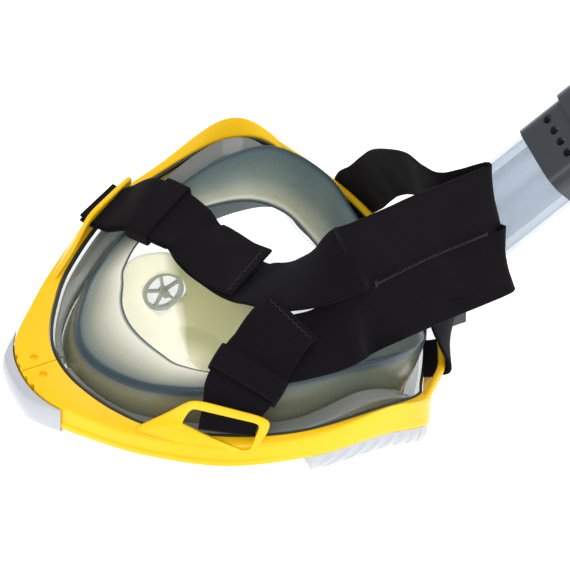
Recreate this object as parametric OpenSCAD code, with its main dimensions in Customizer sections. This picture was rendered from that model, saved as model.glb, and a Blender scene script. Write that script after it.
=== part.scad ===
// Full-face snorkel mask lying on its lens.
// +X points to the forehead, +Y to the wearer's left, +Z towards the face.
// The origin is the centre of the flat front of the lens.

/* [Mask body] */
// Length factor of the body, chin to forehead
length_factor = 1; // [0.98:0.01:1.02]
// Width factor of the body, temple to temple
width_factor = 1; // [0.98:0.01:1.02]
// Thickness of the frame's skin
frame_wall = 2.4; // [2:0.1:2.6]
// Thickness of the lens
lens_wall = 2.4; // [2:0.1:3]
// Gap between the two halves of the frame at the chin
split_gap = 0.3; // [0.1:0.1:0.6]

/* [Skirt and nose cup] */
// Thickness of the silicone skirt
skirt_wall = 2.2; // [1.6:0.1:2.6]
// Thickness of the nose cup
cup_wall = 1.8; // [1.4:0.1:2.2]
// Outer radius of each inhale valve
inhale_r = 11; // [10:0.5:12]

/* [Snorkel] */
// Tilt of the snorkel above the lens plane
tube_tilt = 33.3; // [31:0.1:35]
// Width of the tube across the mask
tube_w = 41; // [39:0.5:43]
// Depth of the tube
tube_d = 29; // [27:0.5:31]
// Wall of the tube
tube_wall = 1.8; // [1.4:0.1:2.4]
// Length of the tube from the socket's mouth to the collar
tube_len = 66; // [60:1:90]
// Radius of each float
float_r = 8.9; // [8.5:0.1:8.9]

/* [Strap] */
// Width of each strap band
band_w = 34.4; // [30:0.2:34.4]
// Thickness of each strap band
band_t = 1.8; // [1.4:0.1:2]

/* [Hidden] */

// Stations along half of the body, chin to forehead
STEPS = 36;
UP = [0, 0, 1];

yellow = [1, 0.8, 0];
clear = [0.82, 0.86, 0.88, 0.45];
smoke = [0.36, 0.44, 0.46];
cream = [0.86, 0.85, 0.72];
white = [0.93, 0.93, 0.93];
black = [0.1, 0.1, 0.11];
dark = [0.2, 0.24, 0.27];

// Outlines of half the body. Each lists the same eleven places: chin centre, chin side,
// chin corner, jaw, cheek, side, temple shoulder, temple corner, brow, brow side, forehead.
frame_inner = fit([
    [-100, 0, 56], [-97, 17, 54.8], [-86, 38, 52], [-70, 58, 52], [-40, 80, 55.5], [-6, 92.5, 57],
    [32, 97.5, 61], [57, 91, 53], [72, 64.5, 29], [86, 37, 20], [100, 0, 16]]);
frame_outer = fit([
    [-119, 0, 56], [-114, 21, 55], [-96.5, 42, 52], [-75.5, 62, 51], [-42, 85.5, 54], [-3, 98, 57.5],
    [36, 104, 68.5], [59, 96.5, 54.5], [76.5, 68, 27], [91, 40, 18], [106, 0, 13]]);
frame_foot = fit([
    [-119, 0, 39], [-114.5, 22, 39.5], [-97, 43.5, 39], [-76, 64, 39.5], [-44, 88, 43], [-4, 99.5, 43.5],
    [33, 103, 46.5], [58.5, 99.5, 38.5], [69.5, 71, 15], [87, 41, 6], [104, 0, 2]]);
skirt_base = fit([
    [-93, 0, 46], [-89.5, 17, 46], [-79.5, 33.5, 46], [-66, 47, 47], [-41, 65, 50], [-4, 79, 53],
    [28, 83.5, 54], [50, 79.5, 51], [60.5, 62, 42], [76, 36, 26], [91, 0, 17]]);
skirt_rim = fit([
    [-86, 0, 58], [-82.5, 15, 58.2], [-73, 30, 59.2], [-61, 42, 61], [-38, 57, 65], [-3, 70, 71],
    [26, 76, 73.5], [51, 75.5, 69.5], [73, 61, 54], [82, 37, 38], [86, 0, 29]]);
skirt_lip = fit([
    [-62, 0, 67.5], [-60, 12, 67], [-54, 25, 65], [-48, 36, 65.5], [-30, 50, 66.5], [2, 56, 65],
    [27, 54, 62.5], [45, 49, 51], [55, 38, 38], [61, 20, 30], [63, 0, 27]]);
lens_front = fit([
    [-60, 0, 0], [-58, 14, 0], [-52, 28, 0], [-42, 39, 0], [-24, 49, 0], [0, 54, 0],
    [28, 55, 0], [50, 50, 0], [64, 38, 0], [71, 20, 0], [73, 0, 0]]);

// Outlines of half the nose cup: chin, chin side, cheek, nose wing, nose side, bridge
cup_edge = fit([[-66, 0, 59], [-56, 27, 58], [-40, 41, 60], [-18, 37, 57], [-2, 22, 47], [14, 0, 40]]);
cup_belly = fit([[-64, 0, 36], [-56, 24, 35], [-40, 36, 35], [-18, 33, 36], [-3, 19, 34], [4, 0, 33]]);
cup_floor = fit([[-52, 0, 20], [-47, 16, 20], [-36, 24, 20], [-20, 22, 20], [-10, 12, 20], [-6, 0, 20]]);

valve_at = [-27, 35.4 * width_factor, 36];
valve_tilt = 72;
drain_r = 9;

tube_from = [109, 0, 39];
neck_x = 104.8;
socket_mouth = 12;
socket_back = -10;
bore_gap = 0.2;
collar_at = socket_mouth + tube_len;
collar_len = 20;
housing_len = 44;
housing_w = tube_w + 9;
housing_d = tube_d + 7;
float_y = 11;
float_len = 16;

// --- outline functions -------------------------------------------------------------------

function fit(outline) = [for (p = outline) [p.x * length_factor, p.y * width_factor, p.z]];
function unit(v) = v / norm(v);
function mix(a, b, f) = a + (b - a) * f;
function mirrored(p) = [p.x, -p.y, p.z];

// Point i of an outline, carried past either end by symmetry
function outline_pt(c, i) =
    let (last = len(c) - 1)
    i < 0 ? mirrored(c[-i]) : i > last ? mirrored(c[2 * last - i]) : c[i];

// Smooth curve through four points, between the middle two
function smooth(a, b, c, d, f) =
    0.5 * (2 * b + (c - a) * f + (2 * a - 5 * b + 4 * c - d) * f * f
        + (3 * b - 3 * c + d - a) * f * f * f);

// Point of an outline at t, 0 at the chin and 1 at the forehead
function along(c, t) =
    let (s = t * (len(c) - 1), i = min(floor(s), len(c) - 2))
    smooth(outline_pt(c, i - 1), outline_pt(c, i), outline_pt(c, i + 1), outline_pt(c, i + 2), s - i);

// Station k of a whole ring, 0 to 2 * STEPS, right round the body
function ring_pt(c, k) =
    let (m = (k + 2 * STEPS) % (2 * STEPS))
    m <= STEPS ? along(c, m / STEPS) : mirrored(along(c, (2 * STEPS - m) / STEPS));

// Direction pointing away from the body, level, at station k of outline c
function outward(c, k) =
    let (d = ring_pt(c, k + 1) - ring_pt(c, k - 1))
    unit([-d.y, d.x, 0]);

// Smooth curve through a free list of points, sampled in n steps a span
function path(c, n) = [
    for (i = [0:len(c) - 2], s = [0:n - 1])
        smooth(c[max(i - 1, 0)], c[i], c[i + 1], c[min(i + 2, len(c) - 1)], s / n),
    c[len(c) - 1]];

// --- solids from sections ----------------------------------------------------------------
// Every section runs anticlockwise, seen from ahead along the way that the sections travel.

function side_faces(m, rows) = [
    for (r = [0:rows - 2], j = [0:m - 1])
        let (a = r * m + j, b = r * m + (j + 1) % m)
        each [[a, a + m, b], [b, a + m, b + m]]];

// Solid through a list of sections, flat at both ends
module loft(sections) {
    m = len(sections[0]);
    rows = len(sections);
    polyhedron(
        points = [for (s = sections, p = s) p],
        faces = concat(
            side_faces(m, rows),
            [[for (j = [0:m - 1]) j]],
            [[for (j = [m - 1:-1:0]) (rows - 1) * m + j]]),
        convexity = 8);
}

// Solid through a list of sections that closes on itself
module ring_loft(sections) {
    m = len(sections[0]);
    rows = len(sections);
    polyhedron(
        points = [for (s = sections, p = s) p],
        faces = [
            for (r = [0:rows - 1], j = [0:m - 1])
                let (n = (r + 1) % rows, a = r * m + j, b = r * m + (j + 1) % m,
                    c = n * m + j, d = n * m + (j + 1) % m)
                each [[a, c, b], [b, c, d]]],
        convexity = 8);
}

module mirror_if(right) {
    if (right) mirror([0, 1, 0]) children();
    else children();
}

// Puts children in the tube's own axes: X along the tube, Z away from the lens
module on_tube(s = 0) {
    translate(tube_from) rotate([0, -tube_tilt, 0]) translate([s, 0, 0]) children();
}

// A length of rounded oblong section along the tube
module oblong(w, d, r, len) {
    rotate([90, 0, 90])
        linear_extrude(len)
            rounded_rect(w, d, r);
}

// Rounded rectangle made of exact arcs
module rounded_rect(w, d, r) {
    square([w - 2 * r, d], center = true);
    square([w, d - 2 * r], center = true);
    for (x = [-1, 1], y = [-1, 1])
        translate([x * (w / 2 - r), y * (d / 2 - r)]) circle(r = r, $fn = 48);
}

// --- frame -------------------------------------------------------------------------------

// Last station of a frame half, beside the snorkel socket
FRAME_END = 32;
// Depth of the lip that runs down round the frame's inner edge
INNER_LIP = 4.6;

function frame_section(k) =
    let (
        n = outward(frame_outer, k),
        e = ring_pt(frame_inner, k),
        o = ring_pt(frame_outer, k),
        w = ring_pt(frame_foot, k),
        wall = [e, e - UP * INNER_LIP, e + n * 1.5 - UP * INNER_LIP, e + n * 1.5 - UP * frame_wall,
            o - n * frame_wall - UP * frame_wall, w - n * frame_wall, w, o])
    k == 0 ? [for (p = wall) [p.x, split_gap / 2, p.z]] : wall;

// Rim and window of the upright plate that carries the jaw strap, in step round the loop
jaw_rim = [
    [-82, 52, 50], [-66, 59, 62.5], [-56, 64.8, 73.5], [-51, 68, 74.6], [-26, 84.7, 69.2],
    [-21.5, 88.5, 66.5], [-24.5, 88, 56.5], [-32, 91.5, 51.5], [-46, 83, 50], [-62, 72, 49.5]];
jaw_window = [
    [-60.5, 66.6, 60.5], [-59.5, 66.2, 62], [-57, 66, 66.5], [-54.5, 66.6, 69.3], [-28.5, 85, 65.6],
    [-27, 86.2, 64], [-33.5, 90, 54], [-36.5, 89.3, 53], [-48, 79, 56.4], [-58, 69, 59.6]];
JAW_FACE = [-0.417, 0.778, 0.471];
JAW_PLATE = 2.6;

// Middle of the bar that stands off the frame's brow for the upper strap
brow_bar = [
    [61, 92, 49.5], [70.5, 80, 43.5], [80.9, 66, 36.2], [86.5, 54, 33.5], [91, 41.8, 30.3],
    [93.6, 36.2, 24],
    [93, 35.5, 15]];
BAR_R = 1.9;

// Round bar through points; ref is a direction that the bar never runs along
module bar(points, ref) {
    c = path(points, 2);
    last = len(c) - 1;
    loft([for (i = [0:last])
        let (
            go = unit(c[min(i + 1, last)] - c[max(i - 1, 0)]),
            u = unit(ref - go * (ref * go)),
            v = cross(go, u))
        [for (a = [0:45:315]) c[i] + (u * cos(a) + v * sin(a)) * BAR_R]]);
}

module jaw_plate() {
    h = JAW_FACE * JAW_PLATE / 2;
    ring_loft([for (i = [0:len(jaw_rim) - 1])
        [jaw_rim[i] - h, jaw_window[i] - h, jaw_window[i] + h, jaw_rim[i] + h]]);
}

module frame_half() {
    difference() {
        union() {
            loft([for (k = [0:FRAME_END]) frame_section(k)]);
            jaw_plate();
            bar(brow_bar, [0.93, 0.3, 0.2]);
        }
        translate([-110, 6, 54.3]) cylinder(h = 10, r = 2, $fn = 32);
    }
}

module frame_left() { color(yellow) frame_half(); }
module frame_right() { color(yellow) mirror_if(true) frame_half(); }

// Screws that hold the chin cover's end of the frame to the lens flange
module frame_screws() {
    color("silver")
        for (x = [-1, 1]) translate([-105, x * 8, 46.2]) {
            cylinder(h = 6, r = 1.4, $fn = 24);
            translate([0, 0, -1.6]) cylinder(h = 1.6, r = 2.6, $fn = 32);
        }
}

// Drop from the frame's inner edge to the lens flange
FLANGE_DROP = 11.5;

function flange_z(k) = ring_pt(frame_inner, k).z - FLANGE_DROP;

// Thin seal between the frame's inner edge and the clear ducts
module frame_gasket() {
    color(dark)
        ring_loft([for (k = [0:2 * STEPS - 1])
            let (
                n = outward(frame_inner, k),
                e = ring_pt(frame_inner, k) - UP * 0.4)
            [e - n * 1.9, e - n * 1.9 - UP * 2.4, e - n * 0.4 - UP * 2.4, e - n * 0.4]]);
}

// --- lens and ducts ----------------------------------------------------------------------

// Room between the lens and the frame, and between soft parts and the flange
LENS_GAP = 0.9;
SEAT_GAP = 0.3;

function lens_top(k) =
    let (w = ring_pt(frame_foot, k))
    [w.x, w.y, flange_z(k)] - outward(frame_foot, k) * (frame_wall + LENS_GAP);

function lens_section(k) =
    let (
        n = outward(frame_foot, k),
        m = outward(lens_front, k),
        f = ring_pt(lens_front, k),
        g = lens_top(k),
        b = ring_pt(skirt_base, k),
        inner = [b.x, b.y, flange_z(k)] - outward(skirt_base, k) * 3)
    [f, g, inner, inner - UP * lens_wall, g - n * lens_wall - UP * lens_wall,
        f - m * lens_wall + UP * lens_wall];

// Place and tilt of the drain valve on the lens's chin wall
drain_at = mix(lens_front[0], [-116.1 * length_factor, 0, 44.5], 0.5);
drain_tilt = atan2(44.5, 56.1 * length_factor);

module on_drain() { translate(drain_at) rotate([0, drain_tilt, 0]) rotate([180, 0, 0]) children(); }

module lens() {
    color(clear)
        difference() {
            union() {
                ring_loft([for (k = [0:2 * STEPS - 1]) lens_section(k)]);
                linear_extrude(lens_wall)
                    polygon([for (k = [0:2 * STEPS - 1]) let (p = ring_pt(lens_front, k)) [p.x, p.y]]);
            }
            on_drain() translate([0, 0, -8]) cylinder(h = 16, r = drain_r + 1.1, $fn = 64);
        }
}

// Height that a duct's roof stands above the frame's inner edge
function duct_rise(t) = 7 * max(0, 1 - abs(t - 0.6) / 0.13);

function duct_section(k) =
    let (
        t = k / STEPS,
        n = outward(frame_inner, k),
        z0 = flange_z(k) + 2 * SEAT_GAP,
        e = ring_pt(frame_inner, k) - n * 2.8,
        b = ring_pt(skirt_base, k) + outward(skirt_base, k) * 0.8,
        o = [e.x, e.y, z0],
        i = [b.x, b.y, z0],
        top = e.z - 3.4 + duct_rise(t) - z0,
        c = unit(i - o) * 1.4)
    [i, o, o + UP * top, i + UP * (top - 1.5), i - c, i - c + UP * (top - 3), o + c + UP * (top - 1.5),
        o + c];

// Outer and inner corners of a duct's arch, in order round its section
function duct_arch(k) = let (s = duct_section(k)) [s[1], s[2], s[3], s[0], s[4], s[5], s[6], s[7]];

module side_duct() {
    loft([for (k = [1:25]) duct_arch(k)]);
}

module side_duct_left() { color(clear) side_duct(); }
module side_duct_right() { color(clear) mirror_if(true) side_duct(); }

// --- covers ------------------------------------------------------------------------------

function chin_section(k) =
    let (
        n = outward(frame_foot, k),
        o = ring_pt(frame_outer, k),
        w = ring_pt(frame_foot, k))
    [o + n * 0.8 - UP * 2, w + n * 0.8 - UP * 0.6, w - n * 2.6 - UP * 0.6, w - n * 2.6 - UP * 3,
        w + n * 6 - UP * 3, o + n * 6.5 - UP * 5];

module chin_cover() {
    color(white) loft([for (k = [-5:5]) chin_section(k)]);
}

function brow_cover_section(k) =
    let (
        n = outward(frame_foot, k),
        w = ring_pt(frame_foot, k),
        g = lens_top(k),
        f = ring_pt(lens_front, k),
        down = unit(f - g),
        a = mix(g, f, 0.2),
        b = mix(g, f, 0.5),
        p = w - n * 1.2 - UP * 1.2,
        q = w - n * 4.2 - UP * 15)
    [a + n * 1, b + n * 1, q, p];

module brow_cover() {
    loft([for (k = [18:26]) brow_cover_section(k)]);
}

module brow_cover_left() { color(white) brow_cover(); }
module brow_cover_right() { color(white) mirror_if(true) brow_cover(); }

// --- skirt and nose cup ------------------------------------------------------------------

function skirt_section(k) =
    let (
        b0 = ring_pt(skirt_base, k),
        b = [b0.x, b0.y, flange_z(k) + SEAT_GAP],
        n = outward(skirt_base, k),
        r = ring_pt(skirt_rim, k),
        l = ring_pt(skirt_lip, k),
        w = skirt_wall)
    [b, mix(b, r, 0.5) + n * 0.8, r + n * 0.6 - UP * 0.8, r, l, l - UP * 1.4,
        r - n * w * 1.2 - UP * w, mix(b, r, 0.5) - n * (w - 0.4), b - n * w];

module skirt() {
    color(smoke) ring_loft([for (k = [0:2 * STEPS - 1]) skirt_section(k)]);
}

function cup_section(k) =
    let (
        e = ring_pt(cup_edge, k),
        b = ring_pt(cup_belly, k),
        f = ring_pt(cup_floor, k),
        n = outward(cup_belly, k),
        w = cup_wall)
    [e, b, f - n * w + UP * w, f, b + n * w, e + n * w];

module nose_cup() {
    color(cream)
        difference() {
            union() {
                ring_loft([for (k = [0:2 * STEPS - 1]) cup_section(k)]);
                translate([0, 0, cup_floor[0].z + 0.2])
                    linear_extrude(cup_wall - 0.5)
                        polygon([for (k = [0:2 * STEPS - 1])
                            let (p = ring_pt(cup_floor, k) - outward(cup_floor, k)) [p.x, p.y]]);
            }
            for (right = [false, true]) mirror_if(right)
                on_valve() translate([0, 0, -6]) cylinder(h = 14, r = inhale_r + 0.1, $fn = 64);
        }
}

// --- one-way valves ----------------------------------------------------------------------

// Puts children on the left cheek of the cup, +Z pointing into the cup
module on_valve() { translate(valve_at) rotate([valve_tilt, 0, 0]) children(); }

// A ring with a hub, spokes and a pin that carries the disc; the disc sits on +Z
module valve_seat(r) {
    difference() {
        translate([0, 0, -3]) cylinder(h = 3, r = r, $fn = 64);
        translate([0, 0, -4]) cylinder(h = 5, r = r - 2, $fn = 64);
    }
    translate([0, 0, -2.2]) cylinder(h = 5, r = 1.1, $fn = 32);
    translate([0, 0, 2.8]) cylinder(h = 0.8, r = 2, $fn = 32);
    translate([0, 0, -2.2]) cylinder(h = 2.2, r = 2.4, $fn = 32);
    for (a = [0:72:288]) rotate(a + 18)
        translate([1.5, -0.6, -2.2]) cube([r - 3, 1.2, 2.2]);
}

module valve_disc(r) {
    difference() {
        translate([0, 0, 0.1]) cylinder(h = 0.7, r = r - 0.8, $fn = 64);
        translate([0, 0, -1]) cylinder(h = 3, r = 1.2, $fn = 32);
    }
}

module inhale_seat_left() { color(white) on_valve() valve_seat(inhale_r); }
module inhale_seat_right() { color(white) mirror_if(true) on_valve() valve_seat(inhale_r); }
module inhale_disc_left() { color(cream) on_valve() valve_disc(inhale_r); }
module inhale_disc_right() { color(cream) mirror_if(true) on_valve() valve_disc(inhale_r); }

module drain_seat() { color(dark) on_drain() valve_seat(drain_r + 1); }
module drain_disc() { color(smoke) on_drain() valve_disc(drain_r + 1); }

// Slotted cap over the drain valve, clear of the disc's travel
module drain_cover() {
    color(white) on_drain() difference() {
        translate([0, 0, 0.6]) cylinder(h = 5.6, r = drain_r + 5, $fn = 64);
        translate([0, 0, -1]) cylinder(h = 5.6, r = drain_r + 2.6, $fn = 64);
        for (y = [-6:4:6]) translate([-5, y - 0.8, 2]) cube([10, 1.6, 6]);
    }
}

// --- snorkel socket ----------------------------------------------------------------------

module snorkel_socket() {
    color(dark) difference() {
        union() {
            on_tube(socket_back)
                oblong(tube_w + 9, tube_d + 9, 10, socket_mouth - socket_back);
            on_tube(-4) translate([0, -13, 10]) cube([15, 26, 11.5]);
            translate([neck_x, -19, 4]) cube([116 - neck_x, 38, 24]);
        }
        on_tube(socket_back - 1)
            oblong(tube_w + 2 * bore_gap, tube_d + 2 * bore_gap, 9, 40);
        on_tube(-2) translate([0, -9.2, tube_d / 2 + 1.4]) cube([11, 18.4, 10]);
        translate([neck_x + 2.5, -16, 6]) cube([11, 32, 20]);
        on_tube(socket_back - 2.2) oblong(tube_w + 8.4, tube_d + 8.4, 10.2, 2.2);
    }
}

// Button that frees the snorkel, in the pocket on the socket's back
module release_button() {
    color(yellow) on_tube(-2)
        translate([0.2, -9, tube_d / 2 + 3.6]) cube([10.6, 18, 5]);
}

module socket_gasket() {
    color(smoke) difference() {
        on_tube(socket_back - 1.8) oblong(tube_w + 8, tube_d + 8, 10, 1.6);
        on_tube(socket_back - 3) oblong(tube_w, tube_d, 9, 4);
    }
}

FLAP_X = 110.5;

// Soft flap with a round bead on its hinge line, which lets spent air out of one side duct
module exhale_flap() {
    color(smoke) translate([FLAP_X, 3, 0]) {
        translate([-0.4, 0, 8]) cube([0.8, 11, 8]);
        translate([0, 0, 16]) rotate([-90, 0, 0]) cylinder(h = 11, r = 0.7, $fn = 24);
    }
}

module exhale_flap_left() { exhale_flap(); }
module exhale_flap_right() { mirror_if(true) exhale_flap(); }

// --- snorkel -----------------------------------------------------------------------------

module tube() {
    color(clear) difference() {
        on_tube(socket_mouth + 0.2) oblong(tube_w, tube_d, 9, tube_len);
        on_tube(socket_mouth - 1)
            oblong(tube_w - 2 * tube_wall, tube_d - 2 * tube_wall, 9 - tube_wall, tube_len + 4);
    }
}

// Wall that parts fresh air from spent air
module tube_divider() {
    color(dark) on_tube(socket_mouth + 0.5)
        translate([0, -(tube_w / 2 - tube_wall - 0.1), -0.6])
            cube([tube_len - 1, tube_w - 2 * tube_wall - 0.2, 1.2]);
}

// Lower end of the snorkel, which slides in the socket
module tube_plug() {
    color(dark) difference() {
        union() {
            on_tube(socket_back + 2)
                oblong(tube_w - 2, tube_d - 2, 8, socket_mouth - socket_back - 2);
            on_tube(socket_mouth - 8) oblong(tube_w, tube_d, 9, 8);
        }
        on_tube(socket_back) oblong(tube_w - 9, tube_d - 9, 5, 40);
        on_tube(socket_back + 4.8) plug_groove();
    }
}

module plug_groove() {
    difference() {
        oblong(tube_w + 4, tube_d + 4, 9, 2.4);
        translate([-1, 0, 0]) oblong(tube_w - 5, tube_d - 5, 6.5, 6);
    }
}

module plug_seal() {
    color(black) on_tube(socket_back + 5) difference() {
        oblong(tube_w - 0.2, tube_d - 0.2, 8.9, 2);
        translate([-1, 0, 0]) oblong(tube_w - 4.8, tube_d - 4.8, 6.6, 6);
    }
}

// Dark sleeve between the tube and the dry top, with a row of round ports
module upper_collar() {
    color(dark) difference() {
        on_tube(collar_at - 6) oblong(tube_w + 4, tube_d + 4, 10, collar_len + 6);
        on_tube(collar_at - 8) oblong(tube_w + 0.4, tube_d + 0.4, 9, 8.4);
        on_tube(collar_at - 1) oblong(tube_w - 6, tube_d - 6, 7, collar_len + 4);
        on_tube(collar_at + 10)
            for (y = [-12:8:12]) translate([0, y, 0]) cylinder(h = 60, r = 2.4, center = true, $fn = 32);
    }
}

// Cage of the dry top: two float wells with windows in the back and front
module float_housing() {
    s = collar_at + collar_len + 0.2;
    color(dark) difference() {
        union() {
            difference() {
                on_tube(s) oblong(housing_w, housing_d, 11, housing_len);
                on_tube(s + 4) oblong(housing_w - 4, housing_d - 4, 9, housing_len);
            }
            for (y = [-float_y, float_y]) on_tube(s + 1) translate([0, y, 0])
                rotate([0, 90, 0]) cylinder(h = housing_len - 14, r = float_r + 1.7, $fn = 64);
        }
        for (y = [-float_y, float_y]) on_tube(s + 4) translate([0, y, 0]) {
            rotate([0, 90, 0]) cylinder(h = housing_len, r = float_r + 0.1, $fn = 64);
            translate([-8, 0, 0]) rotate([0, 90, 0]) cylinder(h = 20, r = 5, $fn = 48);
            translate([8, -4, -30]) cube([16, 8, 60]);
        }
    }
}

module float_solid(y) {
    on_tube(collar_at + collar_len + 6) translate([0, y, 0])
        rotate([0, 90, 0]) cylinder(h = float_len, r = float_r, $fn = 64);
}

module float_left() { color(yellow) float_solid(float_y); }
module float_right() { color(yellow) float_solid(-float_y); }

// Soft pad on top of a float that shuts its air inlet
module float_seal(y) {
    on_tube(collar_at + collar_len + 6 + float_len + 0.05) translate([0, y, 0])
        rotate([0, 90, 0]) cylinder(h = 2, r = 7, $fn = 48);
}

module float_seal_left() { color(smoke) float_seal(float_y); }
module float_seal_right() { color(smoke) float_seal(-float_y); }

module top_cap() {
    s = collar_at + collar_len + housing_len + 0.4;
    color(yellow) difference() {
        union() {
            on_tube(s) oblong(housing_w, housing_d, 11, 5);
            on_tube(s + 5) oblong(housing_w - 5, housing_d - 5, 9, 3);
            for (y = [-float_y, float_y]) on_tube(s - 12) translate([0, y, 0])
                rotate([0, 90, 0]) cylinder(h = 13, r = float_r - 0.2, $fn = 64);
        }
        for (y = [-float_y, float_y]) on_tube(s - 13) translate([0, y, 0])
            rotate([0, 90, 0]) cylinder(h = 16, r = 5, $fn = 48);
    }
}

// --- strap -------------------------------------------------------------------------------

// Section of a band: middle p, half-width vector h, thickness along the face normal f
function band_section(p, h, f, t) =
    [p - h - f * t / 2, p + h - f * t / 2, p + h + f * t / 2, p - h + f * t / 2];

// Solid band through the middles, with one width direction for each of them. Where it passes
// the loops it is narrower: pinch gives the share lost at its start, the share lost at its end,
// and how many sections from the end the narrow part begins.
module band(middles, widths, w, t, pinch = [0, 0, 0]) {
    c = path(middles, 4);
    d = path(widths, 4);
    last = len(c) - 1;
    loft([for (i = [0:last])
        let (
            go = unit(c[min(i + 1, last)] - c[max(i - 1, 0)]),
            side = unit(d[i] - go * (d[i] * go)),
            face = cross(go, side),
            fit = 1 - pinch[0] * max(0, min(1, 2 - i / 8)) - pinch[1] * max(0, min(1,
            (i + pinch[2] - last) / 8)))
        band_section(c[i], side * w * fit / 2, face, t)]);
}

// Middles of each band from the jaw loop, over the back of the head, to the brow loop
left_route = [
    [-43.6, 82.6, 61], [-40.8, 78, 60.9], [-38.4, 74.9, 61.4], [-34.7, 70.8, 64.1],
    [-26.3, 62.2, 72.5], [-16.7, 45.8, 74.5], [-12, 38.5, 72.3],
    [-9.5, 30, 69], [-6, 21.5, 68], [-1.5, 7, 69], [2.5, -3, 71.5], [7.5, -10.5, 75.5], [14.5, -20.5, 82],
    [21.5, -28.5, 89.5], [30, -34, 97], [41, -37, 105], [49, -38.3, 109], [84.5, -34, 109.3],
    [119.5, -31, 109.3], [124.5, -28.2, 108.6], [119.5, -25.2, 108], [111, -21.5, 107], [102.5, -14.5, 104],
    [99.5, -3.5, 99.5], [99, 11.5, 93], [97, 24, 83.5], [94.5, 35, 72], [93, 44, 58], [91.5, 51.5, 45],
    [88.6, 58.1, 35.2], [87.5, 58.5, 31.7], [85, 57.7, 30.8], [81.2, 56.4, 29.8], [76.6, 54.5, 29.3]];
left_widths = [
    [0.83, 0.56, -0.07], [0.83, 0.56, -0.07], [0.82, 0.57, -0.06], [0.77, 0.64, -0.02],
    [0.7, 0.71, 0.03], [0.7, 0.71, 0.03], [0.66, 0.75, 0],
    [0.66, 0.75, -0.02], [0.64, 0.77, -0.05], [0.6, 0.78, -0.18], [0.53, 0.79, -0.28], [0.46, 0.83, -0.3],
    [0.39, 0.89, -0.22], [0.34, 0.93, -0.08], [0.27, 0.94, 0.15], [0.15, 0.8, 0.55], [0.02, 0.48, 0.87],
    [0.02, 0.42, 0.9], [0.02, 0.42, 0.9], [0.02, 0.42, 0.9], [0.02, 0.42, 0.9], [0.02, 0.35, 0.93],
    [0, 0.21, 0.98], [-0.06, 0.1, 0.99], [-0.12, 0, 0.99], [-0.12, 0.05, 0.99], [-0.1, 0.15, 0.98],
    [-0.15, 0.28, 0.95], [-0.22, 0.45, 0.86], [-0.36, 0.89, 0.25], [-0.375, 0.9, 0.22], [-0.375, 0.9, 0.22],
    [-0.375, 0.9, 0.22], [-0.375, 0.9, 0.22]];
right_route = [
    [-42, -79.5, 58.3], [-39.9, -76.4, 60.7], [-37.3, -73.5, 63.6], [-34.4, -71.2, 68.5],
    [-29.8, -67.7, 73.1], [-15.1, -57.5, 78.1], [-5, -56.5, 79],
    [6.5, -59.5, 79.8], [20.5, -61.7, 81.3], [34.5, -59.8, 83], [48, -55.3, 78.7], [84, -50.8, 78.5],
    [119, -47.8, 78.5], [124, -45, 77.8], [119, -42, 77], [110, -40.5, 73.5], [97, -41.5, 66],
    [91, -46, 56.5],
    [90.2, -51, 45.5], [89.7, -55.4, 34.5], [88.6, -55.8, 31], [86.1, -55, 30.1], [82.3, -53.7, 29.1],
    [77.7, -51.8, 28.6]];
right_widths = [
    [-0.83, 0.56, 0.07], [-0.83, 0.56, 0.07], [-0.8, 0.6, 0.1], [-0.72, 0.66, 0.2],
    [-0.6, 0.72, 0.3], [-0.6, 0.72, 0.3], [-0.35, 0.87, 0.35],
    [-0.05, 0.94, 0.3], [0.16, 0.92, 0.36], [0.1, 0.8, 0.6], [0.05, 0.55, 0.84], [0.05, 0.55, 0.84],
    [0.05, 0.55, 0.84], [0.05, 0.55, 0.84], [0.05, 0.55, 0.84], [0.08, 0.7, 0.7], [0.4, 0.75, 0.4],
    [0.7, 0.68, 0], [0.6, 0.78, -0.15], [0.375, 0.9, -0.2], [0.375, 0.9, -0.22], [0.375, 0.9, -0.22],
    [0.375, 0.9, -0.22], [0.375, 0.9, -0.22]];

// Free end of each band, folded back over it from the jaw loop
left_tail = [
    [-43.4, 82.8, 64], [-40.9, 78.6, 63.7], [-38.7, 75.7, 63.7], [-35, 71.8, 66.3],
    [-26.8, 62.8, 75], [-17.2, 46.4, 77], [-12.4, 39, 75.4],
    [-10, 30.3, 72.6], [-6.6, 23, 72.5], [-1.8, 8, 75], [4.4, -3.6, 78]];
left_tail_widths = [
    [0.83, 0.56, -0.07], [0.83, 0.56, -0.07], [0.82, 0.57, -0.06], [0.77, 0.64, -0.02],
    [0.7, 0.71, 0.03], [0.7, 0.71, 0.03], [0.66, 0.75, 0],
    [0.66, 0.75, -0.02], [0.65, 0.76, -0.05], [0.65, 0.76, 0], [0.65, 0.76, -0.02]];
right_tail = [
    [-42.5, -80.6, 60.2], [-40.4, -77.6, 62.5], [-38.1, -75, 65.2], [-35.2, -72.8, 70],
    [-30, -69.3, 75], [-15.3, -59.1, 80], [-1.5, -51, 87], [9.1, -46.9, 88.6]];
right_tail_widths = [
    [-0.83, 0.56, 0.07], [-0.83, 0.56, 0.07], [-0.8, 0.6, 0.1], [-0.72, 0.66, 0.2],
    [-0.6, 0.72, 0.3], [-0.6, 0.72, 0.3], [-0.62, 0.77, 0.14], [-0.66, 0.74, 0.12]];

module strap_band_left() { color(black) band(left_route, left_widths, band_w, band_t, [0.19, 0.22, 54]); }
module strap_band_right() { color(black) band(right_route, right_widths, band_w, band_t, [0.19, 0.16,
    30]); }
module jaw_tail_left() { color(black) band(left_tail, left_tail_widths, band_w - 0.6, band_t, [0.19, 0,
    0]); }
module jaw_tail_right() { color(black) band(right_tail, right_tail_widths, band_w - 0.6, band_t, [0.19,
    0, 0]); }

// Line of stitches that joins the two bands edge to edge
module strap_seam() {
    color(dark) band(
        [[52, -48.6, 94.6], [84.5, -43.4, 94.8], [117, -40.6, 94.8]],
        [for (i = [0:2]) [0.03, 0.48, 0.88]], 4, 0.6);
}

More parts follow.
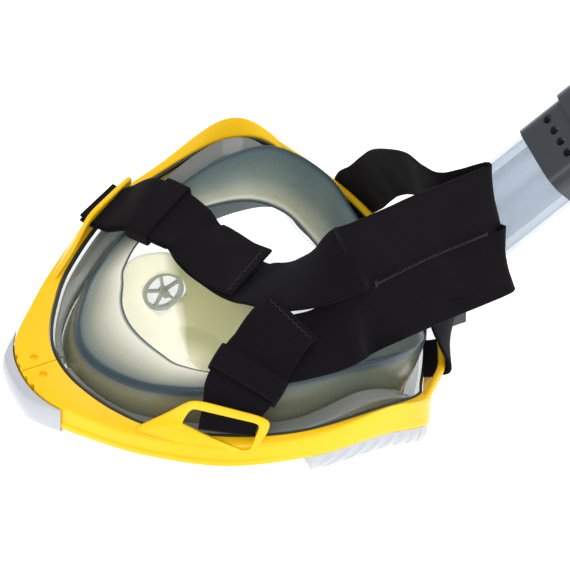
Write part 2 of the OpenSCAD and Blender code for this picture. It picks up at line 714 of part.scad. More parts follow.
KEEPER_WALL = 1.4;

// Sewn sleeve that holds the tail flat against its band
module keeper(a, b, w) {
    inside = [band_w + 1.4, 2 * band_t + 2.6];
    difference() {
        band([a, b], [w, w], inside[0] + 2 * KEEPER_WALL, inside[1] + 2 * KEEPER_WALL);
        band([2 * a - b, 2 * b - a], [w, w], inside[0], inside[1]);
    }
}

module keeper_left() { color(black) keeper([-25, 59.9, 74.3], [-18.5, 48.7, 75.8], [0.7, 0.71, 0.03]); }
module keeper_right() { color(black) keeper([-28.5, -67.4, 75.1], [-18.2, -60.2, 78.9],
    [-0.6, 0.72, 0.3]); }

// --- drawing -----------------------------------------------------------------------------

frame_left();
frame_right();
frame_screws();
frame_gasket();
lens();
side_duct_left();
side_duct_right();
chin_cover();
brow_cover_left();
brow_cover_right();
skirt();
nose_cup();
inhale_seat_left();
inhale_seat_right();
inhale_disc_left();
inhale_disc_right();
drain_seat();
drain_disc();
drain_cover();
snorkel_socket();
socket_gasket();
release_button();
exhale_flap_left();
exhale_flap_right();
tube();
tube_divider();
tube_plug();
plug_seal();
upper_collar();
float_housing();
float_left();
float_right();
float_seal_left();
float_seal_right();
top_cap();
strap_band_left();
strap_band_right();
strap_seam();
jaw_tail_left();
jaw_tail_right();
keeper_left();
keeper_right();
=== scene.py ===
import math

import bmesh
import bpy
import numpy as np
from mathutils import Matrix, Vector
from mathutils.kdtree import KDTree


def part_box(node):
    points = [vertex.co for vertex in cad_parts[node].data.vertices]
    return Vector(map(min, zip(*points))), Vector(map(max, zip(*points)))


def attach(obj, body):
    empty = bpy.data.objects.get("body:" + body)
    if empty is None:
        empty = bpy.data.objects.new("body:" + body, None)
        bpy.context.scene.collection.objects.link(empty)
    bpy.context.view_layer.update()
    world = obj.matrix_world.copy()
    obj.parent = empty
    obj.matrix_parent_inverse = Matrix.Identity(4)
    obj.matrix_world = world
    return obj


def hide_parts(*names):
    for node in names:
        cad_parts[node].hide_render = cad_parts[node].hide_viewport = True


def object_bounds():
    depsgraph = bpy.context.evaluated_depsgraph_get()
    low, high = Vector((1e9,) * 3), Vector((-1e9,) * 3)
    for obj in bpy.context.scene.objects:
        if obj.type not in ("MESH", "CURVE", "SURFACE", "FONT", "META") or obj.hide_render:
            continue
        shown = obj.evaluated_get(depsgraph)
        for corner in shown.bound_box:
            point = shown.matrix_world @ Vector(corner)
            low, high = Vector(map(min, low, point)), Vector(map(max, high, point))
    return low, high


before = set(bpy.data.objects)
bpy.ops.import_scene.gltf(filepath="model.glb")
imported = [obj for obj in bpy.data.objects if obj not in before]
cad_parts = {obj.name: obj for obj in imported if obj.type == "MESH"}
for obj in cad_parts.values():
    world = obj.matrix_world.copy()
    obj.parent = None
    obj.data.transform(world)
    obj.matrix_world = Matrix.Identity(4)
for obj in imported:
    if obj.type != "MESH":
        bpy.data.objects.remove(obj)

# Sizes below are in millimetres in the frame's own axes, and become metres in new_mesh().
MM = 0.001
CAD_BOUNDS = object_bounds()
STATIONS = 240          # stations round a whole ring
HALF = STATIONS // 2    # stations from the chin to the forehead
CAD_STEPS = 36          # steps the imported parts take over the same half
UP = np.array([0.0, 0.0, 1.0])


# --- outlines ---

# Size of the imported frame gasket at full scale; the outlines follow it if the frame is scaled.
GASKET_LENGTH, GASKET_WIDTH = 199.2, 194.0
_low, _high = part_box("frame_gasket")
FIT = np.array([(_high.x - _low.x) / GASKET_LENGTH, (_high.y - _low.y) / GASKET_WIDTH, MM]) / MM


def outline(*points):
    """Half an outline, chin to forehead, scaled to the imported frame."""
    return np.array(points, float) * FIT


# Each lists chin centre, chin side, chin corner, jaw, cheek, side, temple shoulder,
# temple corner, brow, brow side and forehead.
FRAME_INNER = outline(
    (-100, 0, 56), (-97, 17, 54.8), (-86, 38, 52), (-70, 58, 52), (-40, 80, 55.5),
    (-6, 92.5, 57), (32, 97.5, 61), (57, 91, 53), (72, 64.5, 29), (86, 37, 20), (100, 0, 16))
FRAME_OUTER = outline(
    (-119, 0, 56), (-114, 21, 55), (-96.5, 42, 52), (-75.5, 62, 51), (-42, 85.5, 54),
    (-3, 98, 57.5), (36, 104, 68.5), (59, 96.5, 54.5), (76.5, 68, 27), (91, 40, 18), (106, 0, 13))
FRAME_FOOT = outline(
    (-119, 0, 39), (-114.5, 22, 39.5), (-97, 43.5, 39), (-76, 64, 39.5), (-44, 88, 43),
    (-4, 99.5, 43.5), (33, 103, 46.5), (58.5, 99.5, 38.5), (69.5, 71, 15), (87, 41, 6),
    (104, 0, 2))
SKIRT_BASE = outline(
    (-93, 0, 46), (-89.5, 17, 46), (-79.5, 33.5, 46), (-66, 47, 47), (-41, 65, 50), (-4, 79, 53),
    (28, 83.5, 54), (50, 79.5, 51), (60.5, 62, 42), (76, 36, 26), (91, 0, 17))
SKIRT_RIM = outline(
    (-86, 0, 58), (-82.5, 15, 58.2), (-73, 30, 59.2), (-61, 42, 61), (-38, 57, 65), (-3, 70, 71),
    (26, 76, 73.5), (51, 75.5, 69.5), (73, 61, 54), (82, 37, 38), (86, 0, 29))
SKIRT_LIP = outline(
    (-62, 0, 67.5), (-60, 12, 67), (-54, 25, 65), (-48, 36, 65.5), (-30, 50, 66.5), (2, 56, 65),
    (27, 54, 62.5), (45, 49, 51), (55, 38, 38), (61, 20, 30), (63, 0, 27))
LENS_FRONT = outline(
    (-60, 0, 0), (-58, 14, 0), (-52, 28, 0), (-42, 39, 0), (-24, 49, 0), (0, 54, 0),
    (28, 55, 0), (50, 50, 0), (64, 38, 0), (71, 20, 0), (73, 0, 0))
CUP_EDGE = outline(
    (-66, 0, 59), (-56, 27, 58), (-40, 41, 60), (-18, 37, 57), (-2, 22, 47), (14, 0, 40))
CUP_BELLY = outline(
    (-64, 0, 36), (-56, 24, 35), (-40, 36, 35), (-18, 33, 36), (-3, 19, 34), (4, 0, 33))
CUP_FLOOR = outline(
    (-52, 0, 20), (-47, 16, 20), (-36, 24, 20), (-20, 22, 20), (-10, 12, 20), (-6, 0, 20))


def mirrored(p):
    return p * np.array([1, -1, 1])


def outline_point(c, i):
    last = len(c) - 1
    if i < 0:
        return mirrored(c[-i])
    if i > last:
        return mirrored(c[2 * last - i])
    return c[i]


def smooth(a, b, c, d, f):
    """Smooth curve through four points, between the middle two."""
    return 0.5 * (2 * b + (c - a) * f + (2 * a - 5 * b + 4 * c - d) * f ** 2
                  + (3 * b - 3 * c + d - a) * f ** 3)


def along(c, t):
    """Point of an outline at t, 0 at the chin and 1 at the forehead."""
    s = t * (len(c) - 1)
    i = min(int(s), len(c) - 2)
    return smooth(*[outline_point(c, i + j) for j in (-1, 0, 1, 2)], s - i)


def ring(c):
    """The whole outline as stations, right round from the chin."""
    rows = [along(c, k / HALF) for k in range(HALF + 1)]
    return np.array(rows + [mirrored(p) for p in rows[-2:0:-1]])


def outward(rows):
    """Level direction away from the body at each station of a ring."""
    d = np.roll(rows, -1, axis=0) - np.roll(rows, 1, axis=0)
    n = np.stack([-d[:, 1], d[:, 0], np.zeros(len(d))], axis=1)
    return n / np.linalg.norm(n, axis=1)[:, None]


def spline(points, counts):
    """Smooth open curve through points, counts[i] steps from one to the next."""
    p = np.array(points, float)
    last = len(p) - 1
    if isinstance(counts, int):
        counts = [counts] * last
    out = []
    for i, n in enumerate(counts):
        four = p[max(i - 1, 0)], p[i], p[i + 1], p[min(i + 2, last)]
        out += [smooth(*four, s / n) for s in range(n)]
    return np.array(out + [p[last]])


def unit(v):
    return v / np.linalg.norm(v)


def mix(a, b, f):
    return a + (b - a) * f


def ease(x):
    x = np.clip(x, 0, 1)
    return x * x * (3 - 2 * x)


def fillet(corners, radii, steps=3):
    """A closed section with each corner rounded to its radius."""
    out = []
    n = len(corners)
    for i, p in enumerate(corners):
        a, b = corners[i - 1], corners[(i + 1) % n]
        la, lb = np.linalg.norm(a - p), np.linalg.norm(b - p)
        start = mix(p, a, min(radii[i] / max(la, 1e-6), 0.45))
        end = mix(p, b, min(radii[i] / max(lb, 1e-6), 0.45))
        for s in range(steps + 1):
            f = s / steps
            out.append((1 - f) ** 2 * start + 2 * f * (1 - f) * p + f * f * end)
    return out


# --- meshes ---

def new_mesh(name, points, faces, sharp=None):
    """A mesh object from points in millimetres."""
    mesh = bpy.data.meshes.new(name)
    mesh.from_pydata([tuple(p) for p in np.asarray(points) * MM], [], faces)
    mesh.update()
    bm = bmesh.new()
    bm.from_mesh(mesh)
    bmesh.ops.recalc_face_normals(bm, faces=bm.faces)
    bm.to_mesh(mesh)
    bm.free()
    mesh.shade_smooth()
    if sharp is not None:
        mesh.set_sharp_from_angle(angle=math.radians(sharp))
    obj = bpy.data.objects.new(name, mesh)
    bpy.context.scene.collection.objects.link(obj)
    return obj


def add_attribute(mesh, name, values):
    a = mesh.attributes.new(name, "FLOAT", "POINT")
    a.data.foreach_set("value", np.asarray(values, np.float32).ravel())


def loft(name, rows, closed=True, sharp=None):
    """Skin over rows of section points. closed joins the last row to the first; otherwise the
    ends are capped. Attribute across runs 0 to 1 round the section."""
    rows = np.asarray(rows, float)
    r, m = rows.shape[:2]
    faces = []
    for i in range(r if closed else r - 1):
        for j in range(m):
            i2, j2 = (i + 1) % r, (j + 1) % m
            faces.append((i * m + j, i2 * m + j, i2 * m + j2, i * m + j2))
    if not closed:
        faces.append(tuple(range(m)))
        faces.append(tuple((r - 1) * m + j for j in reversed(range(m))))
    obj = new_mesh(name, rows.reshape(-1, 3), faces, sharp)
    add_attribute(obj.data, "across", np.tile(np.linspace(0, 1, m), r))
    return obj


def rounded_rect(w, h, r, steps=3):
    """Section points of a rounded rectangle."""
    pts = []
    for cx, cy, a0 in ((1, 1, 0), (-1, 1, 90), (-1, -1, 180), (1, -1, 270)):
        for s in range(steps + 1):
            a = math.radians(a0 + 90 * s / steps)
            pts.append((cx * (w / 2 - r) + r * math.cos(a), cy * (h / 2 - r) + r * math.sin(a)))
    return pts


def carry_values(old, new):
    """Give each point of a cut mesh the shading values of the nearest point before the cut."""
    tree = KDTree(len(old.vertices))
    for v in old.vertices:
        tree.insert(v.co, v.index)
    tree.balance()
    found = [tree.find(v.co) for v in new.vertices]
    for layer in old.attributes:
        if layer.data_type != "FLOAT" or layer.domain != "POINT":
            continue
        fresh = new.attributes[layer.name].data
        for value, (_, index, _) in zip(fresh, found):
            value.value = layer.data[index].value


def bore(obj, centre, axis, radius, depth=16):
    """Cut a round hole of this depth into obj, half of it each way from the centre."""
    bm = bmesh.new()
    bmesh.ops.create_cone(bm, cap_ends=True, segments=64, radius1=radius * MM,
                          radius2=radius * MM, depth=depth * MM)
    mesh = bpy.data.meshes.new("bore")
    bm.to_mesh(mesh)
    bm.free()
    drill = bpy.data.objects.new("bore", mesh)
    drill.location = centre
    drill.rotation_euler = axis.to_track_quat("Z", "Y").to_euler()
    bpy.context.scene.collection.objects.link(drill)
    cut = obj.modifiers.new("bore", "BOOLEAN")
    cut.object = drill
    cut.operation = "DIFFERENCE"
    cut.solver = "EXACT"
    bpy.context.view_layer.update()
    evaluated = obj.evaluated_get(bpy.context.evaluated_depsgraph_get())
    solid = bpy.data.meshes.new_from_object(evaluated)
    obj.modifiers.clear()
    carry_values(obj.data, solid)
    obj.data = solid
    bpy.data.objects.remove(drill)


def join(name, *objs):
    """One object from several that share a material."""
    first = objs[0]
    with bpy.context.temp_override(active_object=first, object=first, selected_objects=list(objs),
                                   selected_editable_objects=list(objs)):
        bpy.ops.object.join()
    first.name = name
    return first


def place(obj, material, node):
    """Give a piece of the mask its material and the CAD node it stands for."""
    obj.data.materials.clear()
    obj.data.materials.append(material)
    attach(obj, "mask")
    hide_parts(node)


def flipped(obj, name):
    """A copy of obj mirrored to the other side."""
    mesh = obj.data.copy()
    mesh.transform(((1, 0, 0, 0), (0, -1, 0, 0), (0, 0, 1, 0), (0, 0, 0, 1)))
    mesh.flip_normals()
    twin = bpy.data.objects.new(name, mesh)
    bpy.context.scene.collection.objects.link(twin)
    return twin


def place_both(left, right_name, material, node):
    """Place a left piece and its mirrored twin."""
    right = flipped(left, right_name)
    place(left, material, node + "_left")
    place(right, material, node + "_right")


# --- materials ---

class Shader:
    """A node material built up one node at a time."""

    def __init__(self, name, roughness, **inputs):
        self.material = bpy.data.materials.new(name)
        self.material.use_nodes = True
        self.tree = self.material.node_tree
        self.bsdf = self.tree.nodes["Principled BSDF"]
        self.bsdf.inputs["Roughness"].default_value = roughness
        for key, value in inputs.items():
            self.bsdf.inputs[key.replace("_", " ")].default_value = value

    def node(self, kind, **settings):
        n = self.tree.nodes.new(kind)
        for key, value in settings.items():
            if hasattr(n, key) and key not in n.inputs:
                setattr(n, key, value)
            else:
                n.inputs[key.replace("_", " ")].default_value = value
        return n

    def link(self, a, b):
        self.tree.links.new(a, b)

    def drive(self, name, socket):
        self.link(socket, self.bsdf.inputs[name])

    def set(self, name, value):
        self.bsdf.inputs[name].default_value = value

    def attribute(self, name):
        return self.node("ShaderNodeAttribute", attribute_name=name).outputs["Fac"]

    def coords(self):
        return self.node("ShaderNodeTexCoord").outputs["Object"]

    def noise(self, scale, detail=4.0, rough=0.5):
        n = self.node("ShaderNodeTexNoise", Scale=scale, Detail=detail, Roughness=rough)
        self.link(self.coords(), n.inputs["Vector"])
        return n.outputs["Fac"]

    def ramp(self, factor, stops):
        """Colour ramp. Its stops are (place, (r, g, b)), with colours as seen, 0 to 255."""
        n = self.node("ShaderNodeValToRGB")
        e = n.color_ramp.elements
        for i, (at, rgb) in enumerate(stops):
            el = e[i] if i < 2 else e.new(at)
            el.position = at
            el.color = seen(*rgb)
        self.link(factor, n.inputs["Fac"])
        return n.outputs["Color"]

    def blend(self, factor, a, b):
        n = self.node("ShaderNodeMix", data_type="RGBA")
        for socket, value in ((n.inputs[0], factor), (n.inputs[6], a), (n.inputs[7], b)):
            if isinstance(value, (int, float, tuple)):
                socket.default_value = value
            else:
                self.link(value, socket)
        return n.outputs[2]

    def spread(self, factor, low, high, to_low, to_high):
        n = self.node("ShaderNodeMapRange")
        for i, value in enumerate((low, high, to_low, to_high)):
            n.inputs[i + 1].default_value = value
        self.link(factor, n.inputs[0])
        return n.outputs[0]

    def math(self, operation, a, b=None):
        n = self.node("ShaderNodeMath", operation=operation)
        for socket, value in zip(n.inputs, (a, b)):
            if value is None:
                continue
            if isinstance(value, (int, float)):
                socket.default_value = value
            else:
                self.link(value, socket)
        return n.outputs[0]

    def bump(self, height, distance, strength=1.0):
        n = self.node("ShaderNodeBump", Distance=distance, Strength=strength)
        self.link(height, n.inputs["Height"])
        self.link(n.outputs[0], self.bsdf.inputs["Normal"])

    def see_through(self, share):
        """Lets some of the light straight through. The share is a number or a socket."""
        clear = self.node("ShaderNodeBsdfTransparent")
        mixer = self.node("ShaderNodeMixShader")
        if isinstance(share, (int, float)):
            mixer.inputs[0].default_value = share
        else:
            self.link(share, mixer.inputs[0])
        self.link(self.bsdf.outputs[0], mixer.inputs[1])
        self.link(clear.outputs[0], mixer.inputs[2])
        self.link(mixer.outputs[0], self.tree.nodes["Material Output"].inputs["Surface"])
        return clear


def seen(r, g, b):
    """A colour as it looks on screen, as linear light."""
    def linear(v):
        v /= 255
        return v / 12.92 if v <= 0.04045 else ((v + 0.055) / 1.055) ** 2.4
    return (linear(r), linear(g), linear(b), 1)


def moulded_plastic(name, rgb, shade, roughness):
    """Injection-moulded plastic: faint flow marks, fine grain, and sharp outer edges lightened as
    a painted highlight.
    """
    s = Shader(name, roughness, Coat_Weight=0.05, Coat_Roughness=0.25, Specular_IOR_Level=0.32)
    flow = s.spread(s.noise(18, 3), 0.35, 0.7, 0.0, 0.35)
    body = s.blend(flow, seen(*rgb), seen(*shade))
    # Sharp outer edges get a lighter colour: a painted highlight.
    edge = s.node("ShaderNodeNewGeometry").outputs["Pointiness"]
    edge_highlight = s.spread(edge, 0.52, 0.6, 0.0, 0.25)
    light = tuple(min(255, int(c * 1.06) + 8) for c in rgb)
    s.drive("Base Color", s.blend(edge_highlight, body, seen(*light)))
    grain = s.noise(900, 2)
    s.drive("Roughness", s.spread(grain, 0.3, 0.7, roughness - 0.05, roughness + 0.08))
    s.bump(grain, 0.00002, 0.3)
    return s.material


def clear_plastic(name, tint, share, edge_tint, grey=(120, 126, 130)):
    """Clear polycarbonate: see-through face on, greyer and shinier at a glance."""
    s = Shader(name, 0.08, IOR=1.5, Coat_Weight=0.3, Coat_Roughness=0.03)
    facing = s.node("ShaderNodeLayerWeight", Blend=0.35).outputs["Facing"]
    streak = s.spread(s.noise(30, 2), 0.3, 0.7, 0.0, 0.3)
    s.drive("Base Color", s.blend(streak, seen(*grey), seen(*edge_tint)))
    s.drive("Roughness", s.spread(s.noise(70, 2), 0.35, 0.75, 0.05, 0.14))
    through = s.spread(facing, 0.0, 1.0, share, share * 0.5)
    clear = s.see_through(through)
    clear.inputs[0].default_value = seen(*tint)
    return s.material


def silicone(name, colour_of, roughness=0.38, through=0.0, subsurface=0.12, glow=0.0):
    """Soft silicone: slight milkiness and a satin skin. glow stands for the light that comes
    through from behind."""
    s = Shader(name, roughness, Coat_Weight=0.08, Coat_Roughness=0.2)
    s.set("Subsurface Weight", subsurface)
    s.set("Subsurface Scale", 0.006)
    colour = colour_of(s)
    cloud = s.spread(s.noise(35, 3), 0.3, 0.75, 0.0, 0.08)
    s.drive("Base Color", s.blend(cloud, colour, seen(90, 100, 100)))
    s.drive("Emission Color", colour)
    s.set("Emission Strength", glow)
    skin = s.noise(500, 3)
    s.drive("Roughness", s.spread(skin, 0.3, 0.7, roughness - 0.06, roughness + 0.1))
    s.bump(skin, 0.00001, 0.3)
    if through:
        s.see_through(through)
    return s.material


RIB_PITCH, PICK_PITCH = 0.9, 0.7    # spacing of the ribs and of the cross threads


def elastic_fabric(name):
    """Black woven elastic: fine ribs along the band, cross threads, lint and a soft sheen."""
    s = Shader(name, 0.85, Sheen_Weight=0.03, Sheen_Roughness=0.5, Specular_IOR_Level=0.08)
    uv = s.node("ShaderNodeUVMap", uv_map="band").outputs[0]
    split = s.node("ShaderNodeSeparateXYZ")
    s.link(uv, split.inputs[0])
    run, cross = split.outputs[0], split.outputs[1]
    rib = s.math("SINE", s.math("MULTIPLY", cross, 2 * math.pi / RIB_PITCH))
    pick = s.math("SINE", s.math("MULTIPLY", run, 2 * math.pi / PICK_PITCH))
    weave = s.math("MULTIPLY", rib, s.math("ADD", s.math("MULTIPLY", pick, 0.5), 0.8))
    lint = s.noise(700, 4, 0.7)
    patch = s.spread(s.noise(40, 3), 0.3, 0.7, 0.0, 0.5)
    base = s.blend(patch, seen(11, 9, 13), seen(20, 18, 23))
    thread = s.blend(s.spread(weave, -1.0, 1.3, 0.0, 0.5), base, seen(29, 26, 32))
    fleck = s.spread(lint, 0.68, 0.76, 0.0, 0.2)
    s.drive("Base Color", s.blend(fleck, thread, seen(84, 80, 88)))
    height = s.math("ADD", s.math("MULTIPLY", weave, 0.5), s.math("MULTIPLY", lint, 0.8))
    s.bump(height, 0.00012, 0.7)
    return s.material


def seal_rubber(name, rgb):
    s = Shader(name, 0.55)
    grain = s.noise(700, 3)
    pale = seen(*[c + 14 for c in rgb])
    s.drive("Base Color", s.blend(s.spread(grain, 0.3, 0.7, 0.0, 0.4), seen(*rgb), pale))
    s.bump(grain, 0.00005, 0.5)
    return s.material


def brushed_metal(name):
    s = Shader(name, 0.3, Metallic=1.0)
    grain = s.noise(1500, 2)
    s.drive("Base Color", s.blend(grain, seen(180, 182, 186), seen(210, 212, 214)))
    s.bump(grain, 0.00003, 0.5)
    return s.material


def skirt_tone_and_highlight(s):
    """Skirt tone across its section: outer wall, rim, lip and free edge. The cream band on the
    lip, just short of its edge, is a painted highlight.
    """
    across, run = s.attribute("across"), s.attribute("toward_brow")
    chin = s.ramp(across, [
        (0.0, (84, 86, 72)), (0.06, (112, 112, 88)), (0.13, (132, 130, 102)),
        (0.165, (104, 110, 98)), (0.18, (50, 70, 80)), (0.235, (34, 52, 64)),
        (0.3, (46, 66, 76)), (0.32, (92, 104, 100)), (0.38, (132, 138, 126)),
        # The pale stops at 0.47 and 0.55 are the painted highlight along the lip.
        (0.47, (190, 188, 170)), (0.55, (232, 229, 212)), (0.572, (66, 86, 94)),
        (0.62, (52, 72, 82)), (0.7, (120, 130, 128)), (0.78, (62, 78, 86)),
        (1.0, (100, 106, 98))])
    brow = s.ramp(across, [
        (0.0, (70, 76, 68)), (0.08, (104, 108, 90)), (0.16, (92, 102, 92)),
        (0.18, (50, 70, 80)), (0.235, (34, 52, 64)), (0.305, (46, 66, 76)),
        # The pale stops at 0.53 and 0.555 are the same painted highlight.
        (0.325, (76, 96, 98)), (0.44, (106, 120, 112)), (0.53, (166, 168, 148)),
        (0.555, (208, 206, 186)), (0.575, (76, 94, 100)), (0.63, (56, 76, 84)),
        (0.76, (60, 74, 80)), (1.0, (100, 106, 98))])
    return s.blend(s.spread(run, 0.3, 0.55, 0.0, 1.0), chin, brow)


def cup_colour(s):
    """Cup tone across its section: pale at the chin, khaki where it rises over the nose."""
    across, run = s.attribute("across"), s.attribute("toward_brow")
    chin = s.ramp(across, [
        (0.0, (240, 238, 218)), (0.3, (250, 248, 232)), (0.5, (250, 249, 238)),
        (1.0, (238, 236, 214))])
    bridge = s.ramp(across, [
        (0.0, (50, 66, 66)), (0.025, (84, 94, 76)), (0.06, (128, 130, 92)),
        (0.25, (158, 158, 114)), (0.42, (172, 171, 128)), (0.5, (226, 224, 196)),
        (1.0, (232, 230, 206))])
    return s.blend(s.spread(run, 0.53, 0.6, 0.0, 1.0), chin, bridge)


def disc_colour(s):
    return s.ramp(s.noise(60), [(0, (236, 238, 232)), (1, (246, 248, 244))])


YELLOW = moulded_plastic("yellow_shell", (255, 203, 0), (248, 188, 0), 0.36)
WHITE = moulded_plastic("white_shell", (190, 194, 200), (180, 184, 191), 0.3)
GREY_PLASTIC = moulded_plastic("valve_plastic", (172, 177, 172), (158, 163, 158), 0.35)
HOUSING = moulded_plastic("dark_housing", (54, 60, 66), (42, 48, 54), 0.22)
LENS = clear_plastic("clear_lens", (250, 252, 252), 0.97, (216, 222, 226))
DUCT = clear_plastic("clear_duct", (200, 204, 200), 0.5, (176, 178, 172),
                     grey=(150, 153, 148))
TUBE = clear_plastic("clear_tube", (240, 243, 246), 0.95, (196, 203, 212),
                     grey=(160, 168, 178))
SKIRT = silicone("skirt_silicone", skirt_tone_and_highlight, 0.3, subsurface=0.0, glow=0.05)
CUP = silicone("cup_silicone", cup_colour, 0.4, through=0.16, subsurface=0.08, glow=0.34)
DISC = silicone("valve_silicone", disc_colour, 0.3, through=0.86)
SEAL = seal_rubber("seal_rubber", (30, 36, 40))
STEEL = brushed_metal("steel")
FABRIC = elastic_fabric("strap_fabric")
THREAD = seal_rubber("strap_thread", (18, 16, 20))


# --- frame ---

FRAME_WALL = 2.4
FRAME_END = 32 / CAD_STEPS      # where a half stops, beside the socket
FRAME_ROWS = 150
SPLIT = 0.3                     # half the gap between the two halves at the chin
INNER_LIP = 4.6                 # depth of the lip that runs down round the inner edge
LIP_WALL = 1.5
STEP_OUT = 0.9                  # how far the lower wall stands out from the chin to the cheek
STEP_FADE = (0.36, 0.14)        # where that step starts to fade, and over how much
KNEE, SILL = 0.66, 0.74         # top and bottom of the step, as shares of the wall's height
# Corner radii in the order of frame_corners
FRAME_RADII = (0.9, 0.6, 0.6, 0.6, 1, 0.5, 0.9, 0.7, 1.2, 1.5)
DIMPLE = (-110, 6, 62.4)        # middle of the drill that leaves a blind hole beside the split
DIMPLE_R = 2
# Middles of the drills that leave open notches in the chin's outer edge
NOTCHES = ((-119.6, 4.5, 52), (-118.3, 10.5, 52))
NOTCH_R = 1.6


def level_normal(c, t, reach=0.01):
    """Level direction away from the body at t on an outline."""
    d = along(c, min(t + reach, 1)) - along(c, t - reach)
    return unit(np.array([-d[1], d[0], 0]))


def frame_corners(t):
    """Section of the frame at t, from its inner edge down, under and back over the top."""
    inner, outer, foot = along(FRAME_INNER, t), along(FRAME_OUTER, t), along(FRAME_FOOT, t)
    n = level_normal(FRAME_OUTER, t)
    start, reach = STEP_FADE
    step = n * STEP_OUT * (1 - ease((t - start) / reach))
    under = inner - UP * INNER_LIP
    return [inner, under, under + n * LIP_WALL, inner + n * LIP_WALL - UP * FRAME_WALL,
            outer - (n + UP) * FRAME_WALL, foot - n * FRAME_WALL, foot + step,
            mix(outer, foot, SILL) + step, mix(outer, foot, KNEE), outer]


def frame_half(name):
    rows = [fillet(frame_corners(t), FRAME_RADII) for t in np.linspace(0, FRAME_END, FRAME_ROWS)]
    rows = np.array(rows)
    rows[:, :, 1] = np.maximum(rows[:, :, 1], SPLIT)
    shell = loft(name, rows, closed=False, sharp=50)
    bore(shell, Vector(DIMPLE) * MM, Vector(UP), DIMPLE_R)
    for spot in NOTCHES:
        bore(shell, Vector(spot) * MM, Vector(UP), NOTCH_R)
    return shell


def rounded_path(corners, radius):
    c = [np.array(p, float) for p in corners]
    return np.array(fillet(c, [radius] * len(c), steps=6))


def plate_loop(name, rim, window, thickness, n):
    """A flat loop of plate between two outlines with the same corners, rounded at its edges."""
    h = n * thickness / 2
    rows = []
    for p, q in zip(rounded_path(rim, RIM_RADIUS), rounded_path(window, WINDOW_RADIUS)):
        rows.append(fillet([p - h, p + h, q + h, q - h], [PLATE_EDGE] * 4))
    return loft(name, rows, sharp=60)


JAW_PLATE = 2.6
PLATE_EDGE = 1.1
RIM_RADIUS, WINDOW_RADIUS = 5, 2
JAW_RIM = [
    (-82, 52, 50), (-66, 59, 62.5), (-56, 64.8, 73.5), (-51, 68, 74.6), (-26, 84.7, 69.2),
    (-21.5, 88.5, 66.5), (-24.5, 88, 56.5), (-32, 91.5, 51.5), (-46, 83, 50), (-62, 72, 49.5)]
JAW_WINDOW = [
    (-60.5, 66.6, 60.5), (-59.5, 66.2, 62), (-57, 66, 66.5), (-54.5, 66.6, 69.3),
    (-28.5, 85, 65.6), (-27, 86.2, 64), (-33.5, 90, 54), (-36.5, 89.3, 53), (-48, 79, 56.4),
    (-58, 69, 59.6)]
JAW_FACE = np.array([-0.417, 0.778, 0.471])
BAR_SIDE = np.array([0.93, 0.3, 0.2])   # a direction the bar never runs along
BAR_THICK = 3.0
BAR_SWELL = 0.8         # how much thicker the bar is at its middle than at its roots
BROW_BAR = [
    (61, 92, 49.5), (70.5, 80, 43.5), (80.9, 66, 36.2), (86.5, 54, 33.5), (91, 41.8, 30.3),
    (93.6, 36.2, 24), (93, 35.5, 15)]


def brow_bar():
    """Round bar along BROW_BAR, thicker toward its middle."""
    c = spline(BROW_BAR, 8)
    last = len(c) - 1
    rows = []
    for i, p in enumerate(c):
        go = unit(c[min(i + 1, last)] - c[max(i - 1, 0)])
        right = unit(BAR_SIDE - go * (BAR_SIDE @ go))
        up = np.cross(go, right)
        thick = BAR_THICK + BAR_SWELL * ease(min(i / last, 1 - i / last) * 5)
        rows.append([p + right * x + up * y for x, y in rounded_rect(thick, thick, thick * 0.42)])
    return loft("brow_loop", rows, closed=False)


def frame_shells():
    half = frame_half("frame_shell")
    jaw = plate_loop("jaw_loop", JAW_RIM, JAW_WINDOW, JAW_PLATE, JAW_FACE)
    left = join("frame_left_shell", half, jaw, brow_bar())
    place_both(left, "frame_right_shell", YELLOW, "frame")


# --- clear body, ducts and seal ---

LENS_WALL = 2.4
LENS_GAP = 0.9          # between the frame's wall and the clear body
LENS_BOW = 1.2          # how far the wall bulges out and down at half its height
SEAT_GAP = 0.3          # between two parts that rest on each other
FLANGE_DROP = 11.5      # from the frame's inner edge down to the flange
FLANGE_IN = 3           # how far the flange reaches in under the skirt's base
# Corner radii in the order of the wall's section below
LENS_RADII = (3, 20, 1, 0.8, 0.8, 1.5, 20, 2)
PANE_RINGS = 14
PANE_EDGE, PANE_CENTRE = 0.985, 0.02    # where the pane's skin starts and stops, rim to middle


def flange_height():
    return ring(FRAME_INNER)[:, 2] - FLANGE_DROP


def clear_body():
    foot, base, front = ring(FRAME_FOOT), ring(SKIRT_BASE), ring(LENS_FRONT)
    n, m = outward(foot), outward(front)
    z = flange_height()
    top = foot - n * (FRAME_WALL + LENS_GAP)
    top[:, 2] = z
    inner = base - outward(base) * FLANGE_IN
    inner[:, 2] = z
    rows = []
    for k in range(STATIONS):
        bow = mix(top[k], front[k], 0.5) + (n[k] - UP) * LENS_BOW
        rows.append(fillet(
            [front[k], bow, top[k], inner[k], inner[k] - UP * LENS_WALL,
             top[k] - (n[k] + UP) * LENS_WALL, bow - n[k] * LENS_WALL + UP * LENS_BOW / 2,
             front[k] + (UP - m[k]) * LENS_WALL],
            LENS_RADII))
    wall = loft("lens_wall", rows, sharp=40)
    centre = np.array([front[:, 0].mean(), 0, 0])
    steps = np.linspace(PANE_EDGE, PANE_CENTRE, PANE_RINGS)
    skin = [[mix(centre, p, f) for f in steps] for p in front]
    back = [[q + UP * LENS_WALL for q in reversed(r)] for r in skin]
    pane = loft("lens_pane", np.concatenate([np.array(skin), np.array(back)], axis=1), sharp=40)
    place(join("clear_body", wall, pane), LENS, "lens")


